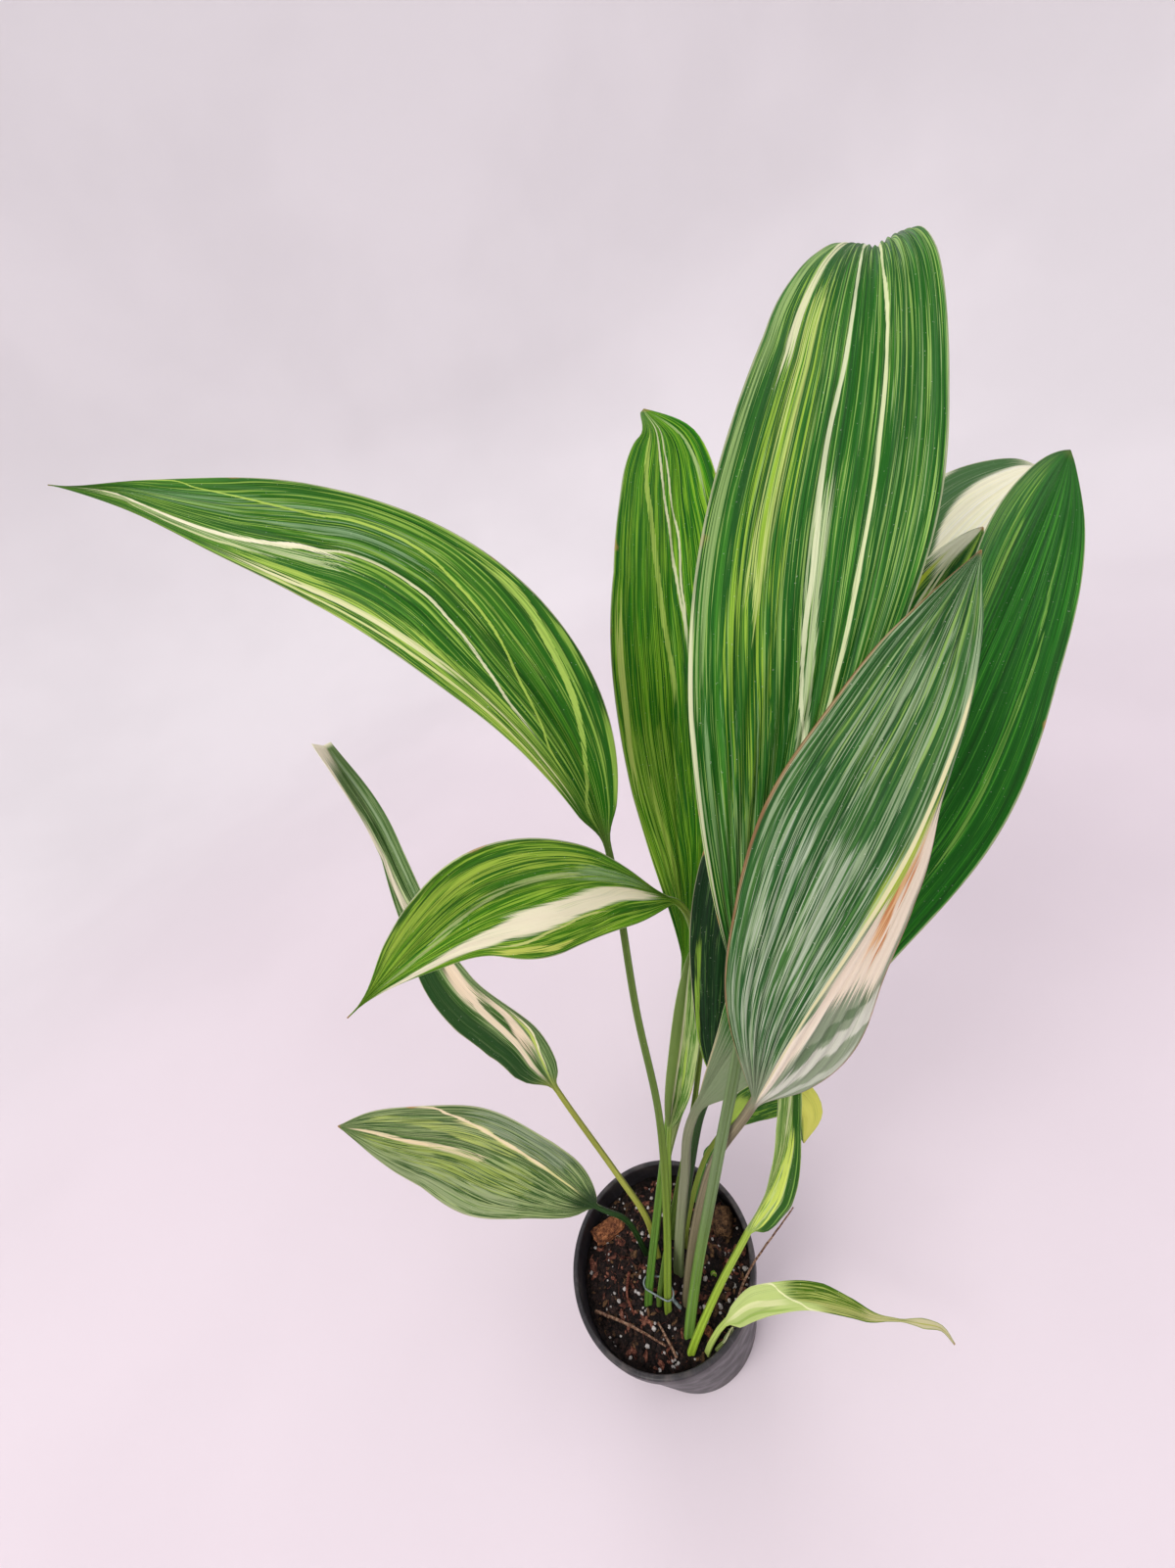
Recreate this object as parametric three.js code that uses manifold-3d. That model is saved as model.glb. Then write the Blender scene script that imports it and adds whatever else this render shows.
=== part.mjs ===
// Potted cast iron plant with variegated leaves, in a plain round nursery pot.
// Millimetres, +Z up. The origin is the centre of the pot's underside, and +Y is the plant's back.
import * as THREE from 'three';
import { mergeVertices } from 'three/addons/utils/BufferGeometryUtils.js';
import Module from 'manifold-3d';

const wasm = await Module();
wasm.setup();

// ---- Driving dimensions -------------------------------------------------------------------

const potHeight = 119;
const potRimRadius = 75;
const potBaseRadius = 57;
const potWall = 1.6;
const potFloor = 2.4;
const rimBandHeight = 11;
const rimStep = 1.6; // how far the rim band stands out from the wall below it
const lipWidth = 4.4;
const drainHoleRadius = 4.5;
const drainHoleCircle = 43;
const drainHoleCount = 8;
const potSides = 40;

const clearance = 0.3; // gap between touching pieces
const soilTop = 102;
const soilRoughness = 1;
const soilRings = 6;
const rootDepth = 14; // how far each stalk goes down into the soil
const holeReach = 6; // height above the soil that a stalk's hole is cut from
const soilBottomBevel = 2;
const soilEdgeDrop = 3; // how much lower the soil is at the wall than in the middle
const lumpCount = 36;
const lumpSeed = 11;
const lumpSmallest = 2.2;
const lumpSpread = 2.4;
const lumpMargin = 9; // distance kept between the lumps and the wall

const bladeThickness = 0.8;
const blendShare = 0.07; // the share of a blade over which the stalk flattens into it
const tipHalfWidth = 0.8;
const neckShare = 0.12; // the share of a blade over which it is at least as wide as its stalk
const fullWaveHalfWidth = 20; // a blade narrower than this waves less
const edgePhaseStep = 1.9; // the right edge waves out of step with the left one
const maxStalkRows = 9;
const stalkRowLength = 40;
const curveSteps = 600; // steps that a leaf's length is measured in
const footRise = 1.2; // higher makes the buried end of a stalk more upright

// A stalk's section, as shares of its radius.
const stalkLip = 0.2; // half thickness at its two edges
const stalkCrown = 0.6; // rise of the upper side between them
const stalkBelly = 0.75; // drop of the lower side
const grooveDepth = 0.3;
const grooveSharpness = 8;
const keelShare = 0.4; // depth of the midrib under the blade's base

// ---- Leaves -------------------------------------------------------------------------------
// stalk: points from the soil to the blade. blade: midrib points from the blade's base to its tip.
// across: directions from the midrib to the right-hand edge, seen from the upper face with the
// tip up, evenly spaced from base to tip. fold: how far each half is lifted, in degrees, from base
// to tip. shape: [base, tip] exponents, higher is more tapered, or a longer list with the share of
// the width at evenly spaced places. wave: [height, waves, phase].
// A leaf whose halves differ has a fold, width and shape for each. A width is twice that half's own.

const leaves = [
  {
    name: 'leaf_tall_front',
    stalk: [[4, -48, 102], [21, -30, 128], [74, -36, 300]],
    blade: [
      [112, -37, 417], [134, -27, 483], [178, -1, 561], [222, 35, 629],
      [261, 72, 682], [287, 99, 706], [306, 124, 712], [335, 170, 694],
    ],
    across: [[0.89, -0.24, -0.39], [0.89, -0.24, -0.39], [0.94, -0.2, -0.22], [0.95, -0.3, 0.05]],
    left: { width: 108, shape: [1.68, 1.72], fold: [28, 8, 26, 6] },
    right: { width: 90, shape: [2.2, 1.56], fold: [30, 15, 8, 1] },
    wave: [1.6, 3.5, 0.4], stalkRadius: [4, 3],
    columns: 6, rows: 20, color: 0x2f6b33,
  },
  {
    name: 'leaf_front_bent',
    stalk: [[9, -28, 102], [36, -15, 171], [67, -14, 250]],
    blade: [
      [103, -49, 368], [130, -68, 446], [163, -73, 500], [191, -70, 537],
      [215, -59, 567], [236, -40, 588], [254, -18, 609],
    ],
    across: [[-0.74, 0.22, 0.63], [-0.59, -0.11, 0.8], [-0.52, -0.14, 0.84]],
    left: { width: 92, shape: [0.65, 0.85], fold: [0, 16, 26, 24] },
    right: { width: 107, shape: [1.45, 1], fold: [4, 27, 40, 36] },
    wave: [1.2, 3, 1.1], stalkRadius: [3.6, 2.6],
    columns: 6, rows: 18, color: 0x4a6b57,
  },
  {
    name: 'leaf_right_broad',
    stalk: [[9, -8, 102], [26, -7, 165], [47, 0, 225]],
    blade: [
      [69, -2, 295], [122, 3, 355], [186, 10, 418], [252, 26, 471],
      [311, 52, 522], [374, 87, 568], [405, 108, 587],
    ],
    across: [[0.57, -0.66, -0.49], [0.6, -0.42, -0.68], [0.64, -0.1, -0.76]],
    left: { width: 113, shape: [1.37, 0.84], fold: [20, 13, 45, 0] },
    right: { width: 99, shape: [0.91, 0.76], fold: [20, 3, 11, 14] },
    wave: [1.6, 3, 2.0], stalkRadius: [4.2, 3],
    columns: 6, rows: 20, color: 0x2f6b2f,
  },
  {
    name: 'leaf_back_upright',
    stalk: [[-21, -20, 102], [10, 9, 159], [46, 35, 229]],
    blade: [
      [98, 66, 342], [127, 100, 431], [152, 134, 500], [178, 169, 564],
      [205, 203, 614], [221, 232, 650], [213, 253, 672],
    ],
    across: [[0.93, -0.19, -0.31], [0.93, -0.11, -0.36], [0.83, -0.12, -0.55]],
    left: { width: 97, shape: [1.31, 0.66], fold: [33, 10, 28, 13] },
    right: { width: 85, shape: [1.25, 0.84], fold: [30, 18, 11, 9] },
    wave: [1.6, 3, 0.2], stalkRadius: [3.2, 2.6],
    columns: 6, rows: 18, color: 0x4d7a33,
  },
  {
    name: 'leaf_arching_left',
    stalk: [[-7, -29, 102], [18, -3, 170], [46, 19, 274], [60, 39, 364]],
    blade: [
      [81, 66, 471], [86, 85, 528], [75, 103, 579], [46, 123, 630],
      [-7, 150, 680], [-84, 190, 725], [-146, 226, 750],
    ],
    across: [[0.96, 0.14, 0.23], [0.81, 0.02, 0.58], [0.48, 0.03, 0.87]],
    left: { width: 75, shape: [0.88, 1.4], fold: [32, 18, 12, 10] },
    right: { width: 74, shape: [1.09, 1.8], fold: [33, 13, 10, 10] },
    wave: [2.2, 3, 0.9], stalkRadius: [3, 2.2],
    columns: 6, rows: 20, color: 0x3b7a33,
  },
  {
    name: 'leaf_left_middle',
    stalk: [[-13, -22, 102], [22.5, 3.5, 165], [74, 34, 256], [103, 54, 323], [112, 61, 370]],
    blade: [
      [111, 54, 422], [88, 43, 456], [51, 38, 483], [7, 33, 496], [-32, 25, 491], [-82, 17, 471],
    ],
    across: [[0.31, -0.01, 0.95], [0.32, 0.06, 0.94], [-0.17, 0.15, 0.97]],
    left: { width: 77, shape: [1.55, 2], fold: [25, 17, 15, 7] },
    right: { width: 84, shape: [2.7, 2.35], fold: [26, 8, 17, 8] },
    wave: [1.8, 2.5, 0.5], stalkRadius: [3, 2.2],
    columns: 6, rows: 16, color: 0x5b8a3a,
  },
  {
    name: 'leaf_shaded_upright',
    stalk: [[12, 3, 102], [34, 5, 165], [72, 19, 252]],
    blade: [[91, 18, 291], [111, 25, 340], [131, 38, 386], [150, 53, 425], [171, 72, 466]],
    across: [[0.79, -0.61, 0.02]],
    left: { width: 54, shape: [0.75, 0.45], fold: [19, 20, 16, 11] },
    right: { width: 52, shape: [0.5, 1], fold: [20, 20, 15, 10] },
    wave: [1, 2, 0], stalkRadius: [3, 2.2],
    columns: 4, rows: 12, color: 0x1d4426,
  },
  {
    name: 'leaf_right_cream',
    stalk: [[-2, 21, 102], [38, 40, 188], [104, 57, 293]],
    blade: [
      [188, 77, 402], [254, 106, 470], [316, 134, 520], [377, 155, 549], [427, 170, 558], [448, 178, 558],
    ],
    across: [[0.47, -0.47, -0.75]],
    fold: [20, 12, 8],
    width: 92, shape: [0.9, 0.8], wave: [1.6, 3, 1.4], stalkRadius: [3, 2.2],
    columns: 6, rows: 16, color: 0xd5d5a0,
  },
  {
    name: 'leaf_right_striped',
    stalk: [[13, 17, 102], [52, 34, 181], [113, 47, 290]],
    blade: [[187, 60, 408], [257, 85, 486], [301, 101, 522], [335, 112, 541], [367, 126, 555]],
    across: [[0.47, -0.47, -0.75]],
    fold: [20, 12, 8],
    width: 56, shape: [0.8, 0.8], wave: [1.2, 3, 0.3], stalkRadius: [3, 2.2],
    columns: 4, rows: 12, color: 0x8aa86a,
  },
  {
    name: 'leaf_young_folded',
    stalk: [[5, 14, 102], [28, 17, 178]],
    blade: [[47, 28.5, 236], [67, 36, 283], [87, 49, 323], [109, 69, 364]],
    across: [[0.93, -0.19, -0.31]],
    fold: [50, 50, 40],
    width: 32, shape: [0.8, 0.8], wave: [0.6, 2, 0], stalkRadius: [2.2, 1.8],
    columns: 4, rows: 10, color: 0x86a84a,
  },
  {
    name: 'leaf_right_folded',
    stalk: [[2, -58, 102], [33, -41, 130]],
    blade: [[75, -37, 200], [107, -30, 244], [129, -19, 288], [148, 4, 334]],
    across: [[0.84, -0.29, -0.46]],
    left: { width: 32, shape: [0.3, 0.2, 0.3, 0.57, 0.79, 0.9, 0.85, 0.6, 0.2], fold: [30, 40, 30] },
    right: { width: 32, shape: [0.4, 0.79, 0.96, 0.83, 0.65, 0.44, 0.38, 0.3, 0.1], fold: [30, 40, 30] },
    wave: [0.8, 2, 0.6], stalkRadius: [3, 2.2],
    columns: 4, rows: 16, color: 0x7fae3a,
  },
  {
    name: 'leaf_over_rim',
    stalk: [[14, -61, 102], [22, -58, 112]],
    blade: [
      [34, -55, 122], [64, -56, 139], [95, -62, 138], [119, -71, 126], [136, -78, 109],
      [150, -81, 99], [168, -85, 87], [180, -89, 77], [185, -96, 63],
    ],
    across: [
      [0.3, -0.91, -0.3], [-0.18, -0.94, -0.29], [-0.53, -0.81, -0.26], [-0.36, -0.9, -0.26],
      [-0.94, -0.26, -0.2],
    ],
    left: {
      width: 22, shape: [0.2, 0.57, 0.92, 0.84, 0.87, 0.86, 0.57, 0.36, 0.15, 0.06, 0.28, 0.17, 0.03],
      fold: [20, 15, 10],
    },
    right: {
      width: 22, shape: [0.5, 0.79, 0.87, 0.84, 0.74, 0.68, 0.58, 0.44, 0.17, 0.09, 0.32, 0.17, 0.09],
      fold: [20, 15, 10],
    },
    wave: [0.8, 2, 0], stalkRadius: [2.4, 2],
    columns: 4, rows: 24, color: 0xb9cf86,
  },
  {
    name: 'leaf_left_low',
    stalk: [[-13, 13, 102], [-14, 18, 156]],
    blade: [[-27, 19, 187], [-51, 31, 234], [-94, 46, 278], [-134, 56, 308], [-175, 68, 327]],
    across: [[0.34, 0.14, 0.93]],
    left: { width: 108, shape: [1, 1.05], fold: [23, 15, 5, 6] },
    right: { width: 99, shape: [1.05, 1.03], fold: [22, 11, 8, 3] },
    wave: [1.4, 2.5, 0.3], stalkRadius: [2.4, 2],
    columns: 6, rows: 14, color: 0x4b7f42,
  },
  {
    name: 'leaf_left_twisted',
    stalk: [[-4, 8, 102], [2, 15, 154], [-4, 27, 211]],
    blade: [
      [-17, 50, 297], [-23, 67, 347], [-48, 90, 397], [-56, 118, 453], [-63, 154, 507], [-79, 191, 554],
    ],
    across: [[0.81, 0.02, 0.58], [0.79, -0.25, 0.56], [0.54, 0.76, -0.37]],
    left: {
      width: 56, shape: [0.11, 0.74, 0.97, 0.99, 0.83, 0.64, 0.46, 0.26, 0.29, 0.4, 0.51], fold: [30, 30],
    },
    right: {
      width: 56, shape: [0.1, 0.64, 0.96, 1, 1, 0.79, 0.56, 0.41, 0.34, 0.29, 0.21], fold: [30, 30],
    },
    wave: [1.2, 2.5, 0.8], stalkRadius: [2.6, 2],
    columns: 4, rows: 20, color: 0xa8b878,
  },
  {
    name: 'leaf_drooping_small',
    stalk: [[20, 8, 102], [36, 15, 141], [64, 26, 186]],
    blade: [[89, 27, 215], [114, 26, 236], [135, 20, 242], [146, 10, 226], [137, 3, 200]],
    across: [[0.19, -0.52, -0.83], [0.5, -0.4, -0.7], [0.93, -0.19, -0.31]],
    fold: [20, 15, 10],
    width: 34, shape: [0.8, 0.9], wave: [0.6, 2, 0], stalkRadius: [2.2, 1.8],
    columns: 4, rows: 12, color: 0xbfcf3a,
  },
  {
    name: 'leaf_tiny_back',
    stalk: [[40, 36, 102], [52, 44, 118]],
    blade: [[60, 50, 129], [69, 53, 135], [79, 56, 133]],
    across: [[0.2, -0.9, -0.4]],
    fold: [20, 15, 10],
    width: 12, shape: [0.8, 0.9], wave: [0, 1, 0], stalkRadius: [1.6, 1.2],
    columns: 4, rows: 6, color: 0x2f7a2f,
  },
  {
    name: 'sheath_over_rim',
    stalk: [[22, -61, 102], [25, -61, 105]],
    blade: [[28, -61, 108], [33, -59.5, 113], [39, -57.5, 118]],
    across: [[-0.3, -0.1, -0.95]],
    fold: [30, 30, 20],
    width: 7, shape: [0.5, 0.7], wave: [0, 1, 0], stalkRadius: [1.6, 1.4],
    columns: 4, rows: 6, color: 0xa9c27a,
  },
  {
    name: 'sprout',
    stalk: [[35, -17, 102], [36, -18, 105]],
    blade: [[36, -19, 108], [37, -20, 112], [38, -22, 116]],
    across: [[0.9, -0.4, 0]],
    fold: [50, 50, 30],
    width: 6, shape: [0.4, 0.6], wave: [0, 1, 0], stalkRadius: [2, 1.8],
    columns: 4, rows: 4, color: 0x8fd23a,
  },
];

// ---- Litter on the soil ---------------------------------------------------------------------

const twigs = [
  {
    name: 'twig_long',
    points: [[-64, -12, 103], [-38, -30, 104], [-15, -49, 103]],
    radius: 1.1,
    color: 0x5b4038,
  },
  {
    name: 'twig_short',
    points: [[-17, -34, 103], [-14, -42, 105], [-9, -58, 103]],
    radius: 1.1,
    color: 0x8a6a50,
  },
  {
    name: 'root_strand',
    points: [[-31, 5, 103], [-36, -10, 104], [-34, -24, 103]],
    radius: 1.2,
    color: 0x6b3a2c,
  },
  {
    name: 'dry_stalk',
    points: [[46, -40, 101], [58, -34, 118], [76, -26, 129], [114, -9, 139]],
    radius: 0.9,
    color: 0x7a5a52,
  },
];

const barkChips = [
  { name: 'bark_chip_left', at: [-40, 40, 104], size: [34, 17, 8], turn: 12, seed: 3, color: 0x9a5f38 },
  { name: 'bark_chip_right', at: [56, 14, 104], size: [18, 28, 10], turn: -20, seed: 8, color: 0x5e4022 },
  { name: 'bark_chip_front', at: [19, -50, 103], size: [6, 7, 5], turn: 30, seed: 5, color: 0xb4653c },
];

const chipSwellLeast = 0.84; // how far the corners of a bark chip are moved in and out
const chipSwellSpread = 0.3;
const rodSides = 6;
const rodSteps = 10;

const tieHeight = 117;
const tieRadius = 0.8;
const tieTilt = 14; // degrees
const tieStep = 0.002; // share of a leaf's length, for finding the height of the tie
const tiedLeaves = ['leaf_back_upright', 'leaf_arching_left', 'leaf_left_middle'];

// ---- Helpers ------------------------------------------------------------------------------

const vector = (p) => new THREE.Vector3(...p);
const smooth = (x) => x * x * (3 - 2 * x);
const clamp01 = (x) => Math.min(1, Math.max(0, x));

// A repeatable random number between 0 and 1.
function randomSource(seed) {
  let state = seed;
  return () => {
    state = (state * 16807) % 2147483647;
    return state / 2147483647;
  };
}

function toSolid(geometry) {
  const bare = geometry.clone();
  bare.deleteAttribute('normal');
  bare.deleteAttribute('uv');
  const merged = mergeVertices(bare, 1e-3);
  return new wasm.Manifold(new wasm.Mesh({
    numProp: 3,
    vertProperties: new Float32Array(merged.attributes.position.array),
    triVerts: new Uint32Array(merged.index.array),
  }));
}

function toGeometry(solid) {
  const mesh = solid.getMesh();
  const geometry = new THREE.BufferGeometry();
  geometry.setAttribute('position', new THREE.BufferAttribute(mesh.vertProperties, 3));
  geometry.setIndex(new THREE.BufferAttribute(mesh.triVerts, 1));
  geometry.computeVertexNormals();
  return geometry;
}

function piece(name, geometry, color, roughness) {
  const material = new THREE.MeshStandardMaterial({ color, roughness, metalness: 0 });
  const mesh = new THREE.Mesh(geometry, material);
  mesh.name = name;
  return mesh;
}

// Value along a list of evenly spaced values, v from 0 to 1. Each value is an array of numbers.
function along(list, v) {
  if (list.length === 1) return list[0];
  const place = clamp01(v) * (list.length - 1);
  const i = Math.min(Math.floor(place), list.length - 2);
  const share = place - i;
  return list[i].map((value, k) => value * (1 - share) + list[i + 1][k] * share);
}

// The half of a leaf that is on the side of s, with its own width, shape and fold.
const halfOf = (leaf, s) => (s < 0 ? leaf.left : leaf.right) ?? leaf;

// Half width of a blade as a share of its widest.
function bladeShare(v, shape) {
  if (shape.length > 2) return along(shape.map((share) => [share]), v)[0];
  const [baseTaper, tipTaper] = shape;
  const peak = baseTaper / (baseTaper + tipTaper);
  return (v / peak) ** baseTaper * ((1 - v) / (1 - peak)) ** tipTaper;
}

// A closed slab from two grids of points, with both faces split into triangles alike.
function slabGeometry(upper, lower) {
  const rows = upper.length;
  const columns = upper[0].length;
  const positions = [...upper.flat(), ...lower.flat()].flatMap((p) => [p.x, p.y, p.z]);
  const top = (i, j) => i * columns + j;
  const bottom = (i, j) => rows * columns + i * columns + j;
  const index = [];
  const quad = (a, b, c, d) => index.push(a, b, c, a, c, d);
  for (let i = 0; i < rows - 1; i += 1) {
    for (let j = 0; j < columns - 1; j += 1) {
      quad(top(i, j), top(i, j + 1), top(i + 1, j + 1), top(i + 1, j));
      index.push(bottom(i, j), bottom(i + 1, j + 1), bottom(i, j + 1));
      index.push(bottom(i, j), bottom(i + 1, j), bottom(i + 1, j + 1));
    }
    const last = columns - 1;
    quad(top(i, 0), top(i + 1, 0), bottom(i + 1, 0), bottom(i, 0));
    quad(top(i, last), bottom(i, last), bottom(i + 1, last), top(i + 1, last));
  }
  for (let j = 0; j < columns - 1; j += 1) {
    const end = rows - 1;
    quad(top(0, j), bottom(0, j), bottom(0, j + 1), top(0, j + 1));
    quad(top(end, j), top(end, j + 1), bottom(end, j + 1), bottom(end, j));
  }
  const geometry = new THREE.BufferGeometry();
  geometry.setAttribute('position', new THREE.Float32BufferAttribute(positions, 3));
  geometry.setIndex(index);
  geometry.computeVertexNormals();
  return geometry;
}

// ---- Leaf: a grooved stalk that flattens into a folded, waved blade ---------------------------

// The centre line from the buried foot to the tip, with the place where the blade starts.
function leafLine(leaf) {
  const foot = vector(leaf.stalk[0]);
  const lean = vector(leaf.stalk[1]).sub(foot).normalize();
  const down = lean.add(new THREE.Vector3(0, 0, footRise)).normalize();
  const buried = foot.clone().addScaledVector(down, -rootDepth);
  const points = [buried, ...leaf.stalk.map(vector), ...leaf.blade.map(vector)];
  const curve = new THREE.CatmullRomCurve3(points);
  curve.arcLengthDivisions = curveSteps;
  const lengths = curve.getLengths();
  const bladeStart = (leaf.stalk.length + 1) / (points.length - 1);
  return { curve, start: lengths[Math.round(bladeStart * curveSteps)] / lengths[curveSteps] };
}

// The section of a leaf at the share u of its whole length: two rows of points, upper and lower.
// grow makes it larger all round, for the hole that the stalk stands in.
function leafSection(leaf, line, u, grow) {
  const centre = line.curve.getPointAt(u);
  const tangent = line.curve.getTangentAt(u);
  const v = clamp01((u - line.start) / (1 - line.start));
  const right = vector(along(leaf.across, v));
  right.addScaledVector(tangent, -right.dot(tangent)).normalize();
  const up = new THREE.Vector3().crossVectors(right, tangent);
  const stalkShare = Math.min(u / line.start, 1);
  const radius = along(leaf.stalkRadius.map((r) => [r]), stalkShare)[0];
  const neck = tipHalfWidth + (radius - tipHalfWidth) * (1 - smooth(clamp01(v / neckShare)));
  const [waveHeight, waves, phase] = leaf.wave;
  const flat = smooth(clamp01(v / blendShare));
  const upper = [];
  const lower = [];
  for (let j = 0; j <= leaf.columns; j += 1) {
    const s = -1 + 2 * j / leaf.columns;
    const { width, shape, fold: folds } = halfOf(leaf, s);
    const half = Math.max(v > 0 ? width / 2 * bladeShare(v, shape) : 0, neck);
    const fold = along(folds.map((degrees) => [THREE.MathUtils.degToRad(degrees)]), v)[0];
    const ripple = Math.sin(2 * Math.PI * waves * v + phase + (s > 0 ? edgePhaseStep : 0));
    const wave = waveHeight * s * s * ripple * Math.min(1, half / fullWaveHalfWidth);
    const lift = half * Math.abs(s) * Math.sin(fold) + wave;
    const keel = s === 0 ? keelShare * radius * (1 - v) : 0;
    const shoulder = Math.sin(Math.PI * (s + 1) / 2);
    const groove = grooveDepth * Math.exp(-grooveSharpness * s * s);
    const bladeSide = half * s * Math.cos(fold);
    const stalkSide = -(radius + grow) * Math.cos(Math.PI * (s + 1) / 2);
    const side = stalkSide * (1 - flat) + bladeSide * flat;
    const stalkTop = radius * (stalkLip + stalkCrown * shoulder - groove) + grow;
    const stalkBottom = -radius * (stalkLip + stalkBelly * shoulder) - grow;
    const bladeTop = lift + bladeThickness / 2;
    const bladeBottom = lift - bladeThickness / 2 - keel;
    const place = (height) => centre.clone().addScaledVector(right, side).addScaledVector(up, height);
    upper.push(place(stalkTop * (1 - flat) + bladeTop * flat));
    lower.push(place(stalkBottom * (1 - flat) + bladeBottom * flat));
  }
  return { upper, lower };
}

function stalkStations(leaf, line) {
  const length = line.curve.getLength() * line.start;
  const count = Math.max(3, Math.min(maxStalkRows, Math.round(length / stalkRowLength)));
  return Array.from({ length: count + 1 }, (_, i) => line.start * i / (count + 1));
}

function leafGeometry(leaf) {
  const line = leafLine(leaf);
  const stations = stalkStations(leaf, line);
  for (let i = 0; i <= leaf.rows; i += 1) stations.push(line.start + (1 - line.start) * i / leaf.rows);
  const sections = stations.map((u) => leafSection(leaf, line, Math.min(u, 1), 0));
  return slabGeometry(sections.map((s) => s.upper), sections.map((s) => s.lower));
}

// The plain hole in the soil around a leaf's foot.
function footHole(leaf) {
  const line = leafLine(leaf);
  const stations = stalkStations(leaf, line);
  const buried = stations.filter((u) => line.curve.getPointAt(u).z < soilTop + holeReach);
  const sections = stations.slice(0, buried.length + 1).map((u) => leafSection(leaf, line, u, clearance));
  const sink = line.curve.getTangentAt(0).multiplyScalar(-clearance);
  [...sections[0].upper, ...sections[0].lower].forEach((p) => p.add(sink));
  return toSolid(slabGeometry(sections.map((s) => s.upper), sections.map((s) => s.lower)));
}

// ---- Twigs and bark -----------------------------------------------------------------------

function rodGeometry(points, radius) {
  const circle = new THREE.Shape(Array.from({ length: rodSides }, (_, k) => {
    const angle = 2 * Math.PI * k / rodSides;
    return new THREE.Vector2(radius * Math.cos(angle), radius * Math.sin(angle));
  }));
  const extrudePath = new THREE.CatmullRomCurve3(points.map(vector));
  return new THREE.ExtrudeGeometry(circle, { steps: rodSteps, extrudePath, bevelEnabled: false });
}

// The groove that a twig lies in: the same rod, larger and a little longer.
function rodGroove(twig) {
  const points = twig.points.map(vector);
  const last = points.length - 1;
  const first = points[0].clone().sub(points[1]).setLength(2 * clearance);
  const final = points[last].clone().sub(points[last - 1]).setLength(2 * clearance);
  points[0].add(first);
  points[last].add(final);
  return toSolid(rodGeometry(points.map((p) => p.toArray()), twig.radius + 1.5 * clearance));
}

// A split piece of bark: a ball pushed flat, with its corners moved in and out.
function chipGeometry(chip, grow) {
  const random = randomSource(chip.seed);
  const geometry = new THREE.IcosahedronGeometry(1, 1);
  geometry.deleteAttribute('normal');
  geometry.deleteAttribute('uv');
  const merged = mergeVertices(geometry, 1e-3);
  const position = merged.attributes.position;
  const point = new THREE.Vector3();
  for (let i = 0; i < position.count; i += 1) {
    const swell = chipSwellLeast + chipSwellSpread * random();
    point.fromBufferAttribute(position, i).multiplyScalar(swell);
    const size = chip.size.map((side) => side / 2 + grow);
    position.setXYZ(i, point.x * size[0], point.y * size[1], point.z * size[2]);
  }
  merged.rotateZ(THREE.MathUtils.degToRad(chip.turn));
  merged.translate(...chip.at);
  merged.computeVertexNormals();
  return merged;
}

// ---- Pot ----------------------------------------------------------------------------------

const wallRadiusAt = (z) => potBaseRadius
  + (potRimRadius - rimStep - potBaseRadius) * z / (potHeight - rimBandHeight);

function potGeometry() {
  const bandBottom = potHeight - rimBandHeight;
  const innerTop = potRimRadius - lipWidth;
  const profile = [
    [0, 0],
    [potBaseRadius - 2, 0],
    [potBaseRadius, 2],
    [wallRadiusAt(bandBottom - 1), bandBottom - 1],
    [potRimRadius - 0.6, bandBottom],
    [potRimRadius, potHeight - 1.5],
    [potRimRadius - 1.2, potHeight],
    [innerTop + 1, potHeight],
    [innerTop, potHeight - 1.2],
    [innerTop + 0.4, potHeight - 4],
    [wallRadiusAt(bandBottom - 4) - potWall, bandBottom - 4],
    [wallRadiusAt(potFloor + 2) - potWall, potFloor + 2],
    [potBaseRadius - potWall - 1.8, potFloor],
    [0, potFloor],
  ].map(([r, z]) => new THREE.Vector2(r, z));
  const body = new THREE.LatheGeometry(profile, potSides);
  body.rotateX(Math.PI / 2);
  let solid = toSolid(body);
  for (let k = 0; k < drainHoleCount; k += 1) {
    const angle = 2 * Math.PI * (k + 0.5) / drainHoleCount;
    const hole = new THREE.CylinderGeometry(drainHoleRadius, drainHoleRadius, 4 * potFloor, 12);
    hole.rotateX(Math.PI / 2);
    hole.translate(drainHoleCircle * Math.cos(angle), drainHoleCircle * Math.sin(angle), potFloor / 2);
    solid = solid.subtract(toSolid(hole));
  }
  return toGeometry(solid);
}

// ---- Soil ---------------------------------------------------------------------------------

// The uneven top of the soil, with its middle a little higher than its edge.
function soilHeight(x, y) {
  const bumps = Math.sin(0.13 * x + 1.3) * Math.cos(0.11 * y) + 0.6 * Math.sin(0.31 * x - 0.27 * y);
  return soilTop + soilRoughness * bumps - soilEdgeDrop * (Math.hypot(x, y) / potRimRadius) ** 4;
}

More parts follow.
